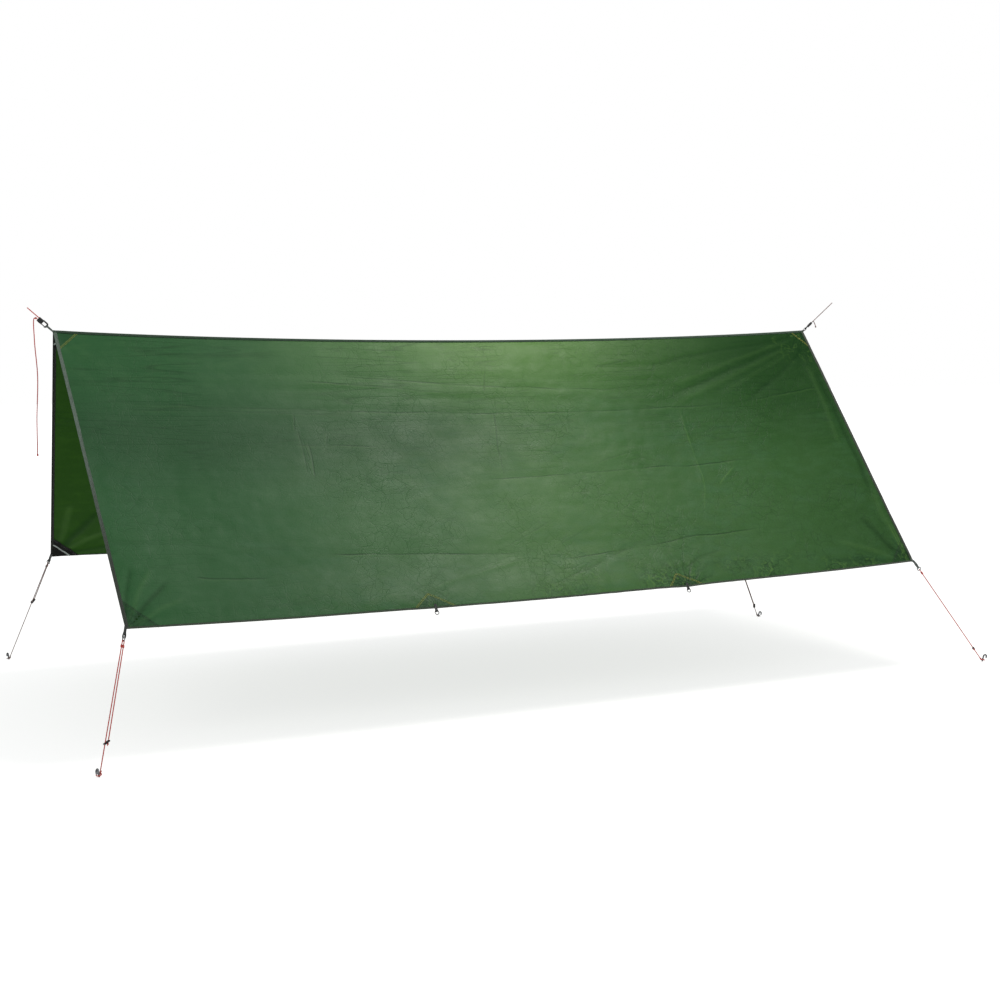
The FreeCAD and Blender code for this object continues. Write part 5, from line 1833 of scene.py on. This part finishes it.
def ridge_loop(which, end, along, e, z_t, strap, web):
    spread = 0.0015 + 0.0001 + WEB_THICK / 2
    t_start = np.array([0, 1.0, 0])
    t_end = z_t if np.dot(z_t, t_start) >= 0 else -z_t
    leg = [(end - along * (0.018 * k), UP, t_start, spread) for k in (1.0, 0.66, 0.33, 0.0)]
    leg.append((end + along * 0.001, UP, t_start, spread))
    for s in np.linspace(0.2, 1.0, 16):
        k = smooth(s)
        t = square_to(unit(t_start * (1 - k) + t_end * k), e)
        w = np.cross(t, e)
        if np.dot(w, UP) < 0:
            w = -w
        leg.append((end + e * (strap * s), w, t, spread + (WEB_FOLD_R - spread) * k))
    batch = Batch()
    ribbon(batch, fold_back(leg, e), width=0.0055)
    lift = spread + WEB_THICK / 2 + 0.0001
    bar_tacks(batch, end, (-0.013, -0.006), along, UP, t_start, lift, length=0.0044)
    ob = batch.build("ridge_%s_loop" % which, [web, "thread_dark"], 45)
    register(ob, "ridge_loop_" + which, "ridge")


def spline(ctrl):
    """Cubic through the points; centripetal spacing keeps the first bend tight."""
    ctrl = np.asarray(ctrl)
    dense = [ctrl[0]]
    ext = np.concatenate([[2 * ctrl[0] - ctrl[1]], ctrl, [2 * ctrl[-1] - ctrl[-2]]])
    for p0, p1, p2, p3 in zip(ext, ext[1:], ext[2:], ext[3:]):
        t01, t12, t23 = (
            max(np.linalg.norm(b - a) ** 0.5, 1e-4) for a, b in ((p0, p1), (p1, p2), (p2, p3))
        )
        m1 = (p2 - p1) + t12 * ((p1 - p0) / t01 - (p2 - p0) / (t01 + t12))
        m2 = (p2 - p1) + t12 * ((p3 - p2) / t23 - (p3 - p1) / (t12 + t23))
        for q in np.linspace(0, 1, 40)[1:]:
            dense.append(
                (2 * q**3 - 3 * q**2 + 1) * p1
                + (q**3 - 2 * q**2 + q) * m1
                + (-2 * q**3 + 3 * q**2) * p2
                + (q**3 - q**2) * m2
            )
    return dense


def ridge_end(which, e, normal, strap, cord_out, tail_pts, web, cord):
    """e: direction of the ridge cord; tail_pts: tail points from where it bends."""
    along = np.array([1.0 if which == "right" else -1.0, 0, 0])
    end = along * RIDGE_HALF + UP * RIDGE_Z
    e = unit(e)
    z_t = square_to(normal, e)
    y_t = np.cross(z_t, e)
    origin = end + e * strap
    ridge_loop(which, end, along, e, z_t, strap, web)

    def world(x, y):
        return origin + e * x + y_t * y

    # ridge cord, round the post inside the block and out again
    pts = [world(EXIT_X, POST_Y + POST_TURN)]
    for a in np.linspace(math.pi / 2, 1.5 * math.pi, 22):
        pts.append(world(POST_X + POST_TURN * math.cos(a), POST_Y + POST_TURN * math.sin(a)))
    pts.append(world(cord_out, POST_Y - POST_TURN))
    batch = Batch()
    add_cord(batch, resample(pts, 0.0010), CORD_R)
    ob = batch.build("ridge_%s_cord" % which, [cord])
    register(ob, "ridge_line_" + which, "ridge_%s_tensioner" % which)

    # hanging tail with its end knot
    tail_y = POST_Y + POST_TURN
    start = [world(EXIT_X + 0.00075, tail_y)]
    lead = world(EXIT_X + 0.012, tail_y)
    if which == "left":
        # the tail turns away from the line at once, so that it can swing
        start.append(world(EXIT_X + 0.0045, tail_y + 0.0009))
        lead = world(EXIT_X + 0.0078, tail_y + 0.0048)
    path = resample(spline(start + [lead] + [lead + np.asarray(q) for q in tail_pts]), CORD_STEP)
    batch = Batch()
    add_cord(batch, path, CORD_R, rounded=True)
    tip_dir = unit(path[-1] - path[-6])
    add_wraps(batch, path[-1] - tip_dir * 0.004, tip_dir, y_t, 0.0018, 3.0, 0.0062, cord_r=0.0013)
    if which == "left":
        # a half hitch close to the block
        centre = world(EXIT_X + 0.0042, tail_y + 0.0012)
        add_wraps(batch, centre, e + y_t * 0.22, y_t, 0.0024, 2.6, 0.0050, cord_r=0.0013)
    ob = batch.build("ridge_%s_tail" % which, [cord])
    register(ob, "ridge_tail_" + which, "ridge_tail_" + which)


ridge_end(
    "left",
    e=(-0.743, 0, 0.669),
    normal=np.array([0, -1.0, 0]),
    strap=0.024,
    cord_out=0.086,
    tail_pts=[(-0.002, 0, -0.070), (0.004, 0, -0.190), (-0.003, 0, -0.330), (-0.005, 0, -0.452)],
    web="web",
    cord="cord",
)
ridge_end(
    "right",
    e=(0.783, 0, 0.622),
    normal=np.array([-0.547, 0.475, 0.689]),
    strap=0.015,
    cord_out=0.170,
    tail_pts=[(0.009, 0, -0.012), (0.014, 0, -0.026)],
    web="web_dark",
    cord="cord_grey",
)


# ======================================================================
# Hardware carried over from the CAD
# ======================================================================
# name ending, material, width of the rounded edges
HARDWARE = (
    ("_ring", "ring", None),
    ("_slider", "plastic", 0.0003),
    ("_peg", "peg", None),
    ("_tensioner", "tension", 0.00025),
    ("_gate", "gate", None),
    ("_cam", "tension", 0.0002),
    ("_cam_pin", "gate", None),
)


def carried(ob, mat, bevel):
    mesh = ob.data
    mesh.materials.clear()
    mesh.materials.append(mat)
    mesh.polygons.foreach_set("material_index", np.zeros(len(mesh.polygons), np.int32))
    if bevel:
        m = ob.modifiers.new("edge_round", "BEVEL")
        m.width = bevel
        m.segments = 2
        m.limit_method = "ANGLE"
        m.angle_limit = math.radians(38)


for name in list(NODES):
    for ending, mat, bevel in HARDWARE:
        if name.endswith(ending):
            carried(NODES[name], MAT[mat], bevel)


# ======================================================================
# Studio
# ======================================================================
def studio_world():
    """White to the camera, soft fill light, dim in reflections."""
    world = bpy.data.worlds.new("studio")
    scene.world = world
    world.use_nodes = True
    nodes, links = world.node_tree.nodes, world.node_tree.links
    nodes.clear()

    def background(colour, strength):
        node = nodes.new("ShaderNodeBackground")
        node.inputs[0].default_value = (*colour, 1)
        node.inputs[1].default_value = strength
        return node

    def mix(fac, a, b):
        node = nodes.new("ShaderNodeMixShader")
        links.new(fac, node.inputs[0])
        links.new(a.outputs[0], node.inputs[1])
        links.new(b.outputs[0], node.inputs[2])
        return node

    out = nodes.new("ShaderNodeOutputWorld")
    seen = background((1.0, 1.0, 1.0), strength=1.0)
    fill = background((0.97, 1.0, 1.0), strength=0.44)
    dim = background((0.9, 1.0, 0.95), strength=0.12)
    ray = nodes.new("ShaderNodeLightPath").outputs
    light = mix(ray["Is Glossy Ray"], fill, dim)
    links.new(mix(ray["Is Camera Ray"], light, seen).outputs[0], out.inputs[0])


def studio_floor():
    t = Shader("studio_floor")
    cloud = t.coords().noise(scale=0.8, detail=2.0)
    dist = t.add("ShaderNodeVectorMath", {0: t.coords()}, "Value", operation="LENGTH")
    mat = t.surface({
        "Base Color": t.mix(cloud, (0.60, 0.60, 0.595, 1), (0.64, 0.64, 0.635, 1)),
        "Roughness": 0.95,
        "Specular IOR Level": 0.05,
        # the floor runs out into the white backdrop with no horizon line
        "Emission Color": (1, 1, 1, 1),
        "Emission Strength": dist.map((2.0, 7.0), to=(0.72, 1.0)),
    })
    half = 40.0
    corners = [(-half, -half, 0), (half, -half, 0), (half, half, 0), (-half, half, 0)]
    mesh = bpy.data.meshes.new("floor")
    mesh.from_pydata(corners, [], [(0, 1, 2, 3)])
    mesh.materials.append(mat)
    floor = bpy.data.objects.new("floor", mesh)
    scene.collection.objects.link(floor)


def area_light(name, at, aim, size, power, colour):
    data = bpy.data.lights.new(name, "AREA")
    data.shape = "RECTANGLE"
    data.size, data.size_y = size
    data.energy = power
    data.color = colour
    ob = bpy.data.objects.new(name, data)
    ob.location = at
    ob.rotation_euler = (Vector(aim) - Vector(at)).to_track_quat("-Z", "Y").to_euler()
    scene.collection.objects.link(ob)


def studio_camera(place, yaw, pitch, roll):
    """Yaw turns from +Y towards +X; angles in radians."""
    data = bpy.data.cameras.new("camera")
    data.sensor_fit = "HORIZONTAL"
    data.sensor_width = 36.0
    data.lens = 55.0990332
    data.shift_x = -0.0012938
    data.shift_y = 0.0003981
    data.clip_end = 200.0
    data.clip_start = 0.01
    level = math.cos(pitch)
    ahead = np.array([math.sin(yaw) * level, math.cos(yaw) * level, math.sin(pitch)])
    right = np.array([math.cos(yaw), -math.sin(yaw), 0])
    up = np.cross(right, ahead)
    rolled_right = math.cos(roll) * right + math.sin(roll) * up
    rolled_up = -math.sin(roll) * right + math.cos(roll) * up
    cam = bpy.data.objects.new("camera", data)
    rows = [tuple(row) for row in zip(rolled_right, rolled_up, -ahead, place)]
    cam.matrix_world = Matrix((*rows, (0, 0, 0, 1)))
    scene.collection.objects.link(cam)
    scene.camera = cam


studio_world()
studio_floor()
area_light(
    "overhead", at=(1.05, -0.70, 3.60), aim=(0.10, -0.10, 1.2),
    size=(1.3, 1.2), power=74.0, colour=(1.0, 0.98, 0.92),
)
area_light(
    "key", at=(-4.2, -4.6, 4.4), aim=(-0.2, 0.0, 0.8),
    size=(2.6, 2.6), power=42.0, colour=(1.0, 1.0, 0.98),
)
studio_camera(place=(-2.3127, -5.2124, 1.1839), yaw=0.4372, pitch=-0.0922, roll=-0.0086)
scene.view_settings.view_transform = "Standard"
